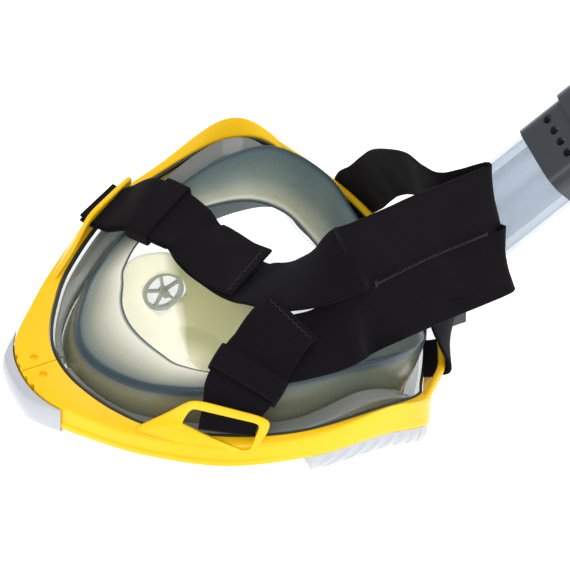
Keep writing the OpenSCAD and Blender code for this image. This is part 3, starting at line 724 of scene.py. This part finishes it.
DUCT_FROM, DUCT_TO = 1 / CAD_STEPS, 25 / CAD_STEPS
DUCT_WALL = 1.4
DUCT_ROOF = 1.5         # thickness of the roof, and how far it falls toward the skirt
DUCT_BELOW = 3.4        # from the frame's inner edge down to the roof
DUCT_OUTSIDE, DUCT_INSIDE = 2.8, 0.8    # clearances from the frame and from the skirt
ARCH_RISE, ARCH_AT, ARCH_REACH = 7, 0.6, 0.13   # the roof's arch near the temple
# Corner radii in the order of the duct's section below
DUCT_RADII = (0.3, 1.3, 1.3, 0.3, 0.3, 0.8, 0.8, 0.3)


def duct(name):
    edge, base = ring(FRAME_INNER), ring(SKIRT_BASE)
    n, nb = outward(edge), outward(base)
    z = flange_height() + 2 * SEAT_GAP
    rows = []
    for k in range(int(DUCT_FROM * HALF), int(DUCT_TO * HALF) + 1):
        rise = ARCH_RISE * ease(1 - abs(k / HALF - ARCH_AT) / ARCH_REACH)
        o = edge[k] - n[k] * DUCT_OUTSIDE
        i = base[k] + nb[k] * DUCT_INSIDE
        o[2] = i[2] = z[k]
        top = edge[k][2] - DUCT_BELOW + rise - z[k]
        c = unit(i - o) * DUCT_WALL
        rows.append(fillet(
            [o, o + UP * top, i + UP * (top - DUCT_ROOF), i, i - c,
             i - c + UP * (top - 2 * DUCT_ROOF), o + c + UP * (top - DUCT_ROOF), o + c],
            DUCT_RADII))
    return loft(name, rows, closed=False, sharp=45)


def ducts():
    place_both(duct("duct_left"), "duct_right", DUCT, "side_duct")


GASKET_IN = 1.9         # the seal's inner face, in from the frame's edge
GASKET_GAP = 0.4        # the gap outside the seal, and how far its top lies under that edge
GASKET_DEPTH = 2.4
GASKET_EDGE = 0.5


def gasket():
    e = ring(FRAME_INNER) - UP * GASKET_GAP
    down = UP * GASKET_DEPTH
    rows = []
    for p, m in zip(e, outward(e)):
        inside, outside = p - m * GASKET_IN, p - m * GASKET_GAP
        rows.append(fillet([inside, inside - down, outside - down, outside], [GASKET_EDGE] * 4))
    place(loft("frame_seal", rows, sharp=60), SEAL, "frame_gasket")


# --- covers ---

CHIN_REACH = 5 / CAD_STEPS
CHIN_SLIM = 0.3         # share of its full bulge that the cover keeps at its ends
# Section corners: place from the frame's outer edge (0) to its foot (1), how far out, how far
# down, whether the corner slims toward the ends, and its radius
CHIN_CORNERS = (
    (0, 0.8, 1.6, False, 0.5), (1, 1.6, 0.6, False, 0.5), (1, -2.6, 0.6, False, 0.5),
    (1, -2.6, 3, False, 1), (1, 5.2, 3, True, 2.5), (0.5, 7.2, 0, True, 5),
    (0, 5.4, 2.2, True, 1.6))


def chin_cover():
    outer, foot = ring(FRAME_OUTER), ring(FRAME_FOOT)
    n = outward(foot)
    reach = int(CHIN_REACH * HALF)
    radii = [corner[-1] for corner in CHIN_CORNERS]
    rows = []
    for k in range(-reach, reach + 1):
        slim = CHIN_SLIM + (1 - CHIN_SLIM) * ease((1 - abs(k) / reach) * 1.6)
        corners = [mix(outer[k], foot[k], at) + n[k] * out * (slim if slims else 1) - UP * down
                   for at, out, down, slims, _ in CHIN_CORNERS]
        rows.append(fillet(corners, radii))
    shell = loft("chin_cover_shell", rows, closed=False, sharp=50)
    place(shell, WHITE, "chin_cover")


COVER_FROM, COVER_TO = 18 / CAD_STEPS, 26 / CAD_STEPS
COVER_ROWS = 220
COVER_FACE_STEPS = 14
COVER_TOP = (1.2, 1.2)      # the face's top and foot: how far in and down from the frame's foot
COVER_FOOT = (4.2, 15)
COVER_SWELL = 1.2
COVER_RIBS = 10
RIB_SLANT = 1.6             # how many ribs the grooves lean over by at the jaw end
RIB_DEPTH = 1.0


def brow_cover(name):
    """White cover under the frame's temple, its outer face ribbed."""
    rows = []
    for f in np.linspace(0, 1, COVER_ROWS + 1):
        t = mix(COVER_FROM, COVER_TO, f)
        foot, lens = along(FRAME_FOOT, t), along(LENS_FRONT, t)
        n = level_normal(FRAME_FOOT, t)
        flange = foot - n * (FRAME_WALL + LENS_GAP)
        flange[2] = along(FRAME_INNER, t)[2] - FLANGE_DROP
        a, b = mix(flange, lens, 0.2) + n, mix(flange, lens, 0.5) + n
        p = foot - n * COVER_TOP[0] - UP * COVER_TOP[1]
        q = foot - n * COVER_FOOT[0] - UP * COVER_FOOT[1]
        face = []
        for drop in np.linspace(0.06, 0.94, COVER_FACE_STEPS):
            fan = math.sin(2 * math.pi * (f * COVER_RIBS + drop * RIB_SLANT * (1 - f)))
            fade = ease(min(f, 1 - f) * 12) * ease(min(drop, 1 - drop) * 6)
            swell = COVER_SWELL * math.sin(drop * math.pi)
            face.append(mix(p, q, drop) + n * (swell - RIB_DEPTH * max(0, fan) * fade))
        rows.append([a, b, mix(b, q, 0.85), q] + face[::-1] + [p])
    return loft(name, rows, closed=False, sharp=50)


def brow_covers():
    left = brow_cover("brow_cover_shell_left")
    place_both(left, "brow_cover_shell_right", WHITE, "brow_cover")


# --- skirt and nose cup ---

def mark_ring(obj, section):
    """Attribute toward_brow: 0 at the chin, 1 at the forehead, on both sides alike."""
    n = len(obj.data.vertices) // section
    k = np.arange(n)
    add_attribute(obj.data, "toward_brow", np.repeat(np.minimum(k, n - k) / (n / 2), section))


SKIRT_WALL = 2.0
SKIRT_COUNTS = (2, 2, 3, 3, 3, 3, 4, 4, 2, 2, 3, 3, 2, 3, 3)


def skirt():
    """Face skirt: up its outer wall, over the rim, in along the lip and back underneath."""
    base, rim, lip = ring(SKIRT_BASE), ring(SKIRT_RIM), ring(SKIRT_LIP)
    base[:, 2] = flange_height() + SEAT_GAP
    n = outward(base)
    w = SKIRT_WALL
    rows = []
    for k in range(STATIONS):
        b, r, l, m = base[k], rim[k], lip[k], n[k]
        inn = unit(l - r)
        wall = [
            b + m * 0.6, b + UP * 1.5 - m * 0.4, mix(b, r, 0.45) + m * 0.9,
            mix(b, r, 0.85) + m * 0.9]
        over = [
            r + m * 0.3, r + UP * 0.5 + inn * 1.6, mix(r, l, 0.3) - UP * 0.9,
            mix(r, l, 0.65) - UP * 0.5, l + UP * 0.1, l + inn * 0.5 - UP * 0.5]
        under = [
            l - UP, mix(r, l, 0.6) - UP * 2.2, mix(r, l, 0.2) - UP * 2.8,
            r - m * w - UP * 3, mix(b, r, 0.45) - m * (w - 0.9), b - m * w]
        rows.append(spline(wall + over + under, SKIRT_COUNTS))
    obj = loft("face_skirt", rows)
    mark_ring(obj, len(rows[0]))
    place(obj, SKIRT, "skirt")


CUP_WALL = 1.8
INHALE_R = 11.1                     # hole for an inhale valve's seat
INHALE_DEPTH = 9
INHALE_TILT = math.radians(72)      # of the valve's axis, from straight up toward the middle


def nose_cup():
    """Nose cup: down its inside from the edge to the middle of its floor, and back outside."""
    edge, belly, floor = ring(CUP_EDGE), ring(CUP_BELLY), ring(CUP_FLOOR)
    n = outward(belly)
    middle = np.array([floor[:, 0].mean(), 0, floor[0][2] + 0.3])
    w = CUP_WALL
    rows = []
    for k in range(STATIONS):
        e, b, f, m = edge[k], belly[k], floor[k], n[k]
        hub = mix(f, middle, 0.98)
        inside = spline(
            [e + m * 0.4 + UP * 0.3, e - UP * 1.2, mix(e, b, 0.55) + m * 0.4, b,
             f + UP * (w + 2), f - m * 5 + UP * w, hub + UP * w],
            (2, 4, 4, 4, 3, 5))
        outside = spline(
            [hub, f - m * 4, f + (UP + m) * 1.5, b + m * w, mix(e, b, 0.5) + m * (w + 0.4),
             e + m * w - UP * 0.8, e + m * (w - 0.4) + UP * 0.2],
            (4, 3, 4, 4, 3, 2))
        rows.append(np.concatenate([inside, outside]))
    obj = loft("oronasal_cup", rows)
    mark_ring(obj, len(rows[0]))
    for name, side in (("inhale_seat_left", 1), ("inhale_seat_right", -1)):
        low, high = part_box(name)
        axis = Vector((0, -side * math.sin(INHALE_TILT), math.cos(INHALE_TILT)))
        bore(obj, (low + high) / 2, axis, INHALE_R, INHALE_DEPTH)
    place(obj, CUP, "nose_cup")


# --- strap ---

BAND_WIDTH = 35.2
BAND_THICK = 1.8
BAND_EDGE = 0.7         # radius of a band's edges
BAND_STEPS = 14         # steps across a band's face
TAIL_INSET = 0.6        # how much narrower a folded tail is than its band
KEEPER_WALL = 1.4
STITCH_R = 0.28
# Share of its width that a band loses where it passes a loop
JAW_PINCH = 0.19
LEFT_BROW_PINCH, RIGHT_BROW_PINCH = 0.22, 0.16
# How far before its brow end a band starts to narrow, in control points of its route
LEFT_NARROWS, RIGHT_NARROWS = 13.5, 7.5


def band_wave(run, cross):
    """Height of the slight waves a used elastic band takes up."""
    return 0.16 * math.sin(run * 0.11 + cross * 0.03) + 0.1 * math.sin(run * 0.27 - cross * 0.08)


class Route:
    """A band's path: middles, width directions and face directions, about 1 mm apart.
    Its pinch is the share of the width lost at the start, at the end, and how many control
    points before the end that loss starts."""

    def __init__(self, middles, widths, pinch):
        c, d = spline(middles, 24), spline(widths, 24)
        s = np.concatenate([[0], np.cumsum(np.linalg.norm(np.diff(c, axis=0), axis=1))])
        self.run = np.linspace(0, s[-1], int(s[-1]) + 1)
        self.middle = np.stack([np.interp(self.run, s, c[:, k]) for k in range(3)], axis=1)
        width = np.stack([np.interp(self.run, s, d[:, k]) for k in range(3)], axis=1)
        go = np.gradient(self.middle, axis=0)
        go /= np.linalg.norm(go, axis=1)[:, None]
        width -= go * np.sum(width * go, axis=1)[:, None]
        self.width = width / np.linalg.norm(width, axis=1)[:, None]
        self.face = np.cross(go, self.width)
        # Share of the full width that is left at each step
        spans = np.interp(self.run, s, np.linspace(0, len(middles) - 1, len(s)))
        start = np.clip(2 - spans / 2, 0, 1)
        end = np.clip((spans + pinch[2] - (len(middles) - 1)) / 2, 0, 1)
        self.fit = 1 - pinch[0] * start - pinch[1] * end

    def at(self, run, cross, height):
        """A point on the band: distance along it, across it and above its middle."""
        look = [np.array([np.interp(run, self.run, getattr(self, name)[:, k]) for k in range(3)])
                for name in ("middle", "width", "face")]
        return look[0] + look[1] * cross + look[2] * (height + band_wave(run, cross))


def ribbon(name, route, width, thick):
    """A band with rounded edges, woven in millimetres along and across."""
    side = width / 2 - BAND_EDGE
    section = []
    for way, angles in ((1, (60, 30, 0, -30, -60)), (-1, (240, 210, 180, 150, 120))):
        section += [(way * x, way * thick / 2) for x in np.linspace(-side, side, BAND_STEPS + 1)]
        section += [(way * side + BAND_EDGE * math.cos(math.radians(a)),
                     thick / 2 * math.sin(math.radians(a))) for a in angles]
    rows = []
    for s, c, w, f, fit in zip(route.run, route.middle, route.width, route.face, route.fit):
        rows.append([c + w * x * fit + f * (y + band_wave(s, x)) for x, y in section])
    obj = loft(name, rows, closed=False, sharp=70)
    flat = np.array([(s, x) for s in route.run for x, _ in section], np.float32)
    weave_map(obj, flat)
    return obj


def weave_map(obj, flat):
    """UV map band: millimetres along and across the weave, one pair for each vertex."""
    layer = obj.data.uv_layers.new(name="band")
    corner = np.zeros(len(obj.data.loops), np.int32)
    obj.data.loops.foreach_get("vertex_index", corner)
    layer.data.foreach_set("uv", flat[corner].ravel())


# A thread's arch: how far along it, how high over the band and how thick, as shares
THREAD_ARCH = ((0, -1, 0.55), (0.2, 0.5, 1), (0.5, 1, 1), (0.8, 0.5, 1), (1, -1, 0.55))
THREAD_SIDES = 6


def stitches(name, threads):
    """One mesh of many raised threads that dip into the band at both ends. Each thread is
    (start, end, outward direction)."""
    n = THREAD_SIDES
    turns = [2 * math.pi * j / n for j in range(n)]
    points, faces = [], []
    for a, b, out in threads:
        side = np.cross(unit(b - a), out)
        base = len(points)
        for f, lift, size in THREAD_ARCH:
            middle = mix(a, b, f) + out * STITCH_R * 0.9 * lift
            points += [middle + (side * math.cos(u) + out * math.sin(u)) * STITCH_R * size
                       for u in turns]
        last = base + n * (len(THREAD_ARCH) - 1)
        for start in range(base, last, n):
            for j in range(n):
                k = (j + 1) % n
                faces.append((start + j, start + k, start + n + k, start + n + j))
        faces.append(tuple(base + j for j in range(n)))
        faces.append(tuple(last + j for j in reversed(range(n))))
    return new_mesh(name, points, faces)


def face_at(route, run):
    return unit(np.array([np.interp(run, route.run, route.face[:, k]) for k in range(3)]))


def cross_row(route, run, low, high, height, pitch=1.6, zig=1.5):
    """A zigzag of stitches across a band at one place along it."""
    out = []
    for k, x in enumerate(np.arange(low, high, pitch)):
        a, b = (run, run + zig) if k % 2 == 0 else (run + zig, run)
        out.append((route.at(a, x, height), route.at(b, x + pitch, height), face_at(route, run)))
    return out


# Each route runs from the jaw loop round behind the head to the brow loop. Its widths are the
# directions of the band's width at the same points.
LEFT_ROUTE = [
    (-43.6, 82.6, 61), (-40.8, 78, 60.9), (-38.4, 74.9, 61.4), (-34.7, 70.8, 64.1),
    (-26.3, 62.2, 72.5), (-16.7, 45.8, 74.5), (-12, 38.5, 72.3), (-9.5, 30, 69), (-6, 21.5, 68),
    (-1.5, 7, 69), (2.5, -3, 71.5), (7.5, -10.5, 75.5), (14.5, -20.5, 82), (21.5, -28.5, 89.5),
    (30, -34, 97), (41, -37, 105), (49, -38.3, 109), (84.5, -34, 109.3), (119.5, -31, 109.3),
    (124.5, -28.2, 108.6), (119.5, -25.2, 108), (111, -21.5, 107), (102.5, -14.5, 104),
    (99.5, -3.5, 99.5), (99, 11.5, 93), (97, 24, 83.5), (94.5, 35, 72), (93, 44, 58),
    (91.5, 51.5, 45), (88.6, 58.1, 35.2), (87.5, 58.5, 31.7), (85, 57.7, 30.8),
    (81.2, 56.4, 29.8), (76.6, 54.5, 29.3)]
LEFT_WIDTHS = [
    (0.83, 0.56, -0.07), (0.83, 0.56, -0.07), (0.82, 0.57, -0.06), (0.77, 0.64, -0.02),
    (0.7, 0.71, 0.03), (0.7, 0.71, 0.03), (0.66, 0.75, 0), (0.66, 0.75, -0.02),
    (0.64, 0.77, -0.05), (0.6, 0.78, -0.18), (0.53, 0.79, -0.28), (0.46, 0.83, -0.3),
    (0.39, 0.89, -0.22), (0.34, 0.93, -0.08), (0.27, 0.94, 0.15), (0.15, 0.8, 0.55),
    (0.02, 0.48, 0.87), (0.02, 0.42, 0.9), (0.02, 0.42, 0.9), (0.02, 0.42, 0.9),
    (0.02, 0.42, 0.9), (0.02, 0.35, 0.93), (0, 0.21, 0.98), (-0.06, 0.1, 0.99), (-0.12, 0, 0.99),
    (-0.12, 0.05, 0.99), (-0.1, 0.15, 0.98), (-0.15, 0.28, 0.95), (-0.22, 0.45, 0.86),
    (-0.36, 0.89, 0.25), (-0.375, 0.9, 0.22), (-0.375, 0.9, 0.22), (-0.375, 0.9, 0.22),
    (-0.375, 0.9, 0.22)]
RIGHT_ROUTE = [
    (-42, -79.5, 58.3), (-39.9, -76.4, 60.7), (-37.3, -73.5, 63.6), (-34.4, -71.2, 68.5),
    (-29.8, -67.7, 73.1), (-15.1, -57.5, 78.1), (-5, -56.5, 79), (6.5, -59.5, 79.8),
    (20.5, -61.7, 81.3), (34.5, -59.8, 83), (48, -55.3, 78.7), (84, -50.8, 78.5),
    (119, -47.8, 78.5), (124, -45, 77.8), (119, -42, 77), (110, -40.5, 73.5), (97, -41.5, 66),
    (91, -46, 56.5), (90.2, -51, 45.5), (89.7, -55.4, 34.5), (88.6, -55.8, 31), (86.1, -55, 30.1),
    (82.3, -53.7, 29.1), (77.7, -51.8, 28.6)]
RIGHT_WIDTHS = [
    (-0.83, 0.56, 0.07), (-0.83, 0.56, 0.07), (-0.8, 0.6, 0.1), (-0.72, 0.66, 0.2),
    (-0.6, 0.72, 0.3), (-0.6, 0.72, 0.3), (-0.35, 0.87, 0.35), (-0.05, 0.94, 0.3),
    (0.16, 0.92, 0.36), (0.1, 0.8, 0.6), (0.05, 0.55, 0.84), (0.05, 0.55, 0.84),
    (0.05, 0.55, 0.84), (0.05, 0.55, 0.84), (0.05, 0.55, 0.84), (0.08, 0.7, 0.7),
    (0.4, 0.75, 0.4), (0.7, 0.68, 0), (0.6, 0.78, -0.15), (0.375, 0.9, -0.2),
    (0.375, 0.9, -0.22), (0.375, 0.9, -0.22), (0.375, 0.9, -0.22), (0.375, 0.9, -0.22)]
# The folded ends run back over their bands from the jaw loops
LEFT_TAIL = [
    (-43.4, 82.8, 64), (-40.9, 78.6, 63.7), (-38.7, 75.7, 63.7), (-35, 71.8, 66.3),
    (-26.8, 62.8, 75), (-17.2, 46.4, 77), (-12.4, 39, 75.4), (-10, 30.3, 72.6), (-6.6, 23, 72.5),
    (-1.8, 8, 75), (4.4, -3.6, 78)]
LEFT_TAIL_WIDTHS = [
    (0.83, 0.56, -0.07), (0.83, 0.56, -0.07), (0.82, 0.57, -0.06), (0.77, 0.64, -0.02),
    (0.7, 0.71, 0.03), (0.7, 0.71, 0.03), (0.66, 0.75, 0), (0.66, 0.75, -0.02),
    (0.65, 0.76, -0.05), (0.65, 0.76, 0), (0.65, 0.76, -0.02)]
RIGHT_TAIL = [
    (-42.5, -80.6, 60.2), (-40.4, -77.6, 62.5), (-38.1, -75, 65.2), (-35.2, -72.8, 70),
    (-30, -69.3, 75), (-15.3, -59.1, 80), (-1.5, -51, 87), (9.1, -46.9, 88.6)]
RIGHT_TAIL_WIDTHS = [
    (-0.83, 0.56, 0.07), (-0.83, 0.56, 0.07), (-0.8, 0.6, 0.1), (-0.72, 0.66, 0.2),
    (-0.6, 0.72, 0.3), (-0.6, 0.72, 0.3), (-0.62, 0.77, 0.14), (-0.66, 0.74, 0.12)]


KEEPER_PLAY = 0.8       # room beside the band, both sides together
KEEPER_ROOM = 2.6       # room over and under the band and its tail, together
KEEPER_RADIUS = 2.4
KEEPER_STEPS = 12
KEEPER_SWELL = 0.012


def sleeve(name, start, end, width_way):
    """Keeper: a short flat sleeve round the band and its tail."""
    a, b, w = np.array(start, float), np.array(end, float), unit(np.array(width_way, float))
    width, depth = BAND_WIDTH + KEEPER_PLAY, 2 * BAND_THICK + KEEPER_ROOM
    ring_out = rounded_rect(width + 2 * KEEPER_WALL, depth + 2 * KEEPER_WALL, KEEPER_RADIUS, 5)
    ring_in = rounded_rect(width, depth, KEEPER_RADIUS / 2, 5)
    go = unit(b - a)
    w = unit(w - go * (w @ go))
    f = np.cross(go, w)
    steps = KEEPER_STEPS
    outer, inner = [], []
    for i in range(steps + 1):
        c = mix(a, b, i / steps)
        swell = 1 + KEEPER_SWELL * math.sin(math.pi * i / steps)
        outer.append([c + (w * x + f * y) * swell for x, y in ring_out])
        inner.append([c + w * x + f * y for x, y in ring_in])
    # Rows run out along the outer skin and back along the inner one
    obj = loft(name, np.transpose(np.array(outer + inner[::-1]), (1, 0, 2)), sharp=60)
    span = np.linalg.norm(b - a)
    m = 2 * (steps + 1)
    flat = []
    for x, y in ring_out:
        for i in range(m):
            at = i if i <= steps else m - 1 - i
            flat.append((x + y, span * at / steps))
    weave_map(obj, np.array(flat, np.float32))
    return obj


# Where each keeper starts and ends, and the way its width runs
KEEPERS = {
    "left": ((-25, 59.9, 74.3), (-18.5, 48.7, 75.8), (0.7, 0.71, 0.03)),
    "right": ((-28.5, -67.4, 75.1), (-18.2, -60.2, 78.9), (-0.6, 0.72, 0.3))}
SEAM = [(52, -48.6, 94.6), (84.5, -43.4, 94.8), (117, -40.6, 94.8)]
SEAM_WIDTH = unit(np.array([0.03, 0.48, 0.88]))
SEAM_OUT = unit(np.array([0.1, -0.88, 0.48]))
SEAM_ZIG = 0.8          # how far each seam stitch reaches to either side
SEAM_TACK = 2.4         # the same for the crossed stitches that lock the seam's end
TAIL_ROW = 4            # how far from a tail's end its row of stitches runs
ROW_INSET = 2           # how far that row stays from the band's edges


def band_set(side, route, tail_route):
    """One side's band, folded tail and keeper. Returns the stitches across the tail's end."""
    band = ribbon("elastic_band_" + side, route, BAND_WIDTH, BAND_THICK)
    place(band, FABRIC, "strap_band_" + side)
    tail = ribbon("elastic_tail_" + side, tail_route, BAND_WIDTH - TAIL_INSET, BAND_THICK)
    place(tail, FABRIC, "jaw_tail_" + side)
    keeper = sleeve("keeper_sleeve_" + side, *KEEPERS[side])
    place(keeper, FABRIC, "keeper_" + side)
    reach = BAND_WIDTH / 2 - ROW_INSET
    return cross_row(tail_route, tail_route.run[-1] - TAIL_ROW, -reach, reach - 1,
                     BAND_THICK / 2)


def seam_threads():
    """Zigzag that joins the two bands edge to edge, locked by a cross at its start."""
    seam = spline(SEAM, 40)
    threads = []
    for k in range(len(seam) - 1):
        zig = SEAM_WIDTH * (SEAM_ZIG if k % 2 == 0 else -SEAM_ZIG)
        threads.append((seam[k] + zig, seam[k + 1] - zig, SEAM_OUT))
    for tack in (-SEAM_WIDTH * SEAM_TACK, SEAM_WIDTH * SEAM_TACK):
        threads.append((seam[0] + tack, seam[3] - tack, SEAM_OUT))
    return threads


def strap():
    left = Route(LEFT_ROUTE, LEFT_WIDTHS, (JAW_PINCH, LEFT_BROW_PINCH, LEFT_NARROWS))
    right = Route(RIGHT_ROUTE, RIGHT_WIDTHS, (JAW_PINCH, RIGHT_BROW_PINCH, RIGHT_NARROWS))
    left_tail = Route(LEFT_TAIL, LEFT_TAIL_WIDTHS, (JAW_PINCH, 0, 0))
    right_tail = Route(RIGHT_TAIL, RIGHT_TAIL_WIDTHS, (JAW_PINCH, 0, 0))
    threads = band_set("left", left, left_tail) + band_set("right", right, right_tail)
    threads += seam_threads()
    place(stitches("seam_stitches", threads), THREAD, "strap_seam")


# --- small parts kept from the model ---

def dress(node, material):
    """Finish a part kept from the model with a material of its own."""
    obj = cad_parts[node]
    obj.data.materials.clear()
    obj.data.materials.append(material)
    obj.data.shade_smooth()


def kept_parts():
    finishes = (
        (STEEL, ("frame_screws",)),
        (GREY_PLASTIC, ("inhale_seat_left", "inhale_seat_right", "drain_seat")),
        (DISC, ("inhale_disc_left", "inhale_disc_right", "drain_disc", "exhale_flap_left",
                "exhale_flap_right")),
        (WHITE, ("drain_cover",)),
        (HOUSING, ("snorkel_socket", "tube_plug", "upper_collar", "float_housing")),
        (SEAL, ("socket_gasket", "plug_seal", "float_seal_left", "float_seal_right")),
        (YELLOW, ("release_button", "float_left", "float_right", "top_cap")),
        (TUBE, ("tube", "tube_divider")))
    for material, nodes in finishes:
        for node in nodes:
            dress(node, material)


# --- studio ---

FLOOR_HALF = 1.6                    # in metres, as everything in this part
CAMERA_AZIMUTH, CAMERA_ELEVATION = math.radians(-113.5), math.radians(49.5)
CAMERA_DISTANCE = 6.0
CAMERA_TARGET = Vector((0.02425, 0, 0.0552))
CAMERA_LENS = 754.3
# Each lamp's name, place, diameter and power
LAMPS = (("key", (-0.5, -0.9, 1.3), 0.9, 8), ("fill", (0.9, 0.5, 1.2), 1.2, 7))
WORLD_LIGHT = 0.72
PAPER_GLOW = 0.75


def look_at(obj, target):
    obj.rotation_euler = (Vector(target) - obj.location).to_track_quat("-Z", "Y").to_euler()


def area_light(name, location, target, size, power):
    data = bpy.data.lights.new(name, "AREA")
    data.shape = "DISK"
    data.size = size
    data.energy = power
    light = bpy.data.objects.new(name, data)
    light.location = location
    bpy.context.scene.collection.objects.link(light)
    look_at(light, target)
    return light


def paper_floor(height):
    corners = ((-1, -1), (1, -1), (1, 1), (-1, 1))
    half = FLOOR_HALF / MM
    floor = new_mesh("floor", [(x * half, y * half, height / MM) for x, y in corners],
                     [(0, 1, 2, 3)])
    paper = Shader("paper", 0.9)
    paper.set("Base Color", (0.97, 0.97, 0.97, 1))
    paper.set("Emission Color", (1, 1, 1, 1))
    paper.set("Emission Strength", PAPER_GLOW)
    floor.data.materials.append(paper.material)
    return floor


def aim_camera():
    camera = bpy.data.objects.new("camera", bpy.data.cameras.new("camera"))
    level = math.cos(CAMERA_ELEVATION)
    toward = Vector((math.cos(CAMERA_AZIMUTH) * level, math.sin(CAMERA_AZIMUTH) * level,
                     math.sin(CAMERA_ELEVATION)))
    camera.location = CAMERA_TARGET + toward * CAMERA_DISTANCE
    camera.data.lens = CAMERA_LENS
    camera.data.sensor_width = 36
    camera.data.clip_end = 20
    look_at(camera, CAMERA_TARGET)
    bpy.context.scene.collection.objects.link(camera)
    bpy.context.scene.camera = camera


def studio():
    low, high = CAD_BOUNDS
    middle = (Vector(low) + Vector(high)) / 2
    scene = bpy.context.scene
    scene.view_settings.view_transform = "Standard"
    world = bpy.data.worlds.new("studio")
    world.use_nodes = True
    background = world.node_tree.nodes["Background"]
    background.inputs[0].default_value = (1, 1, 1, 1)
    background.inputs[1].default_value = WORLD_LIGHT
    scene.world = world
    lamps = [area_light(name, place_at, middle, size, power)
             for name, place_at, size, power in LAMPS]
    paper_floor(low[2])
    aim_camera()


for build in (frame_shells, clear_body, ducts, gasket, chin_cover, brow_covers, skirt, nose_cup,
              strap, kept_parts, studio):
    build()
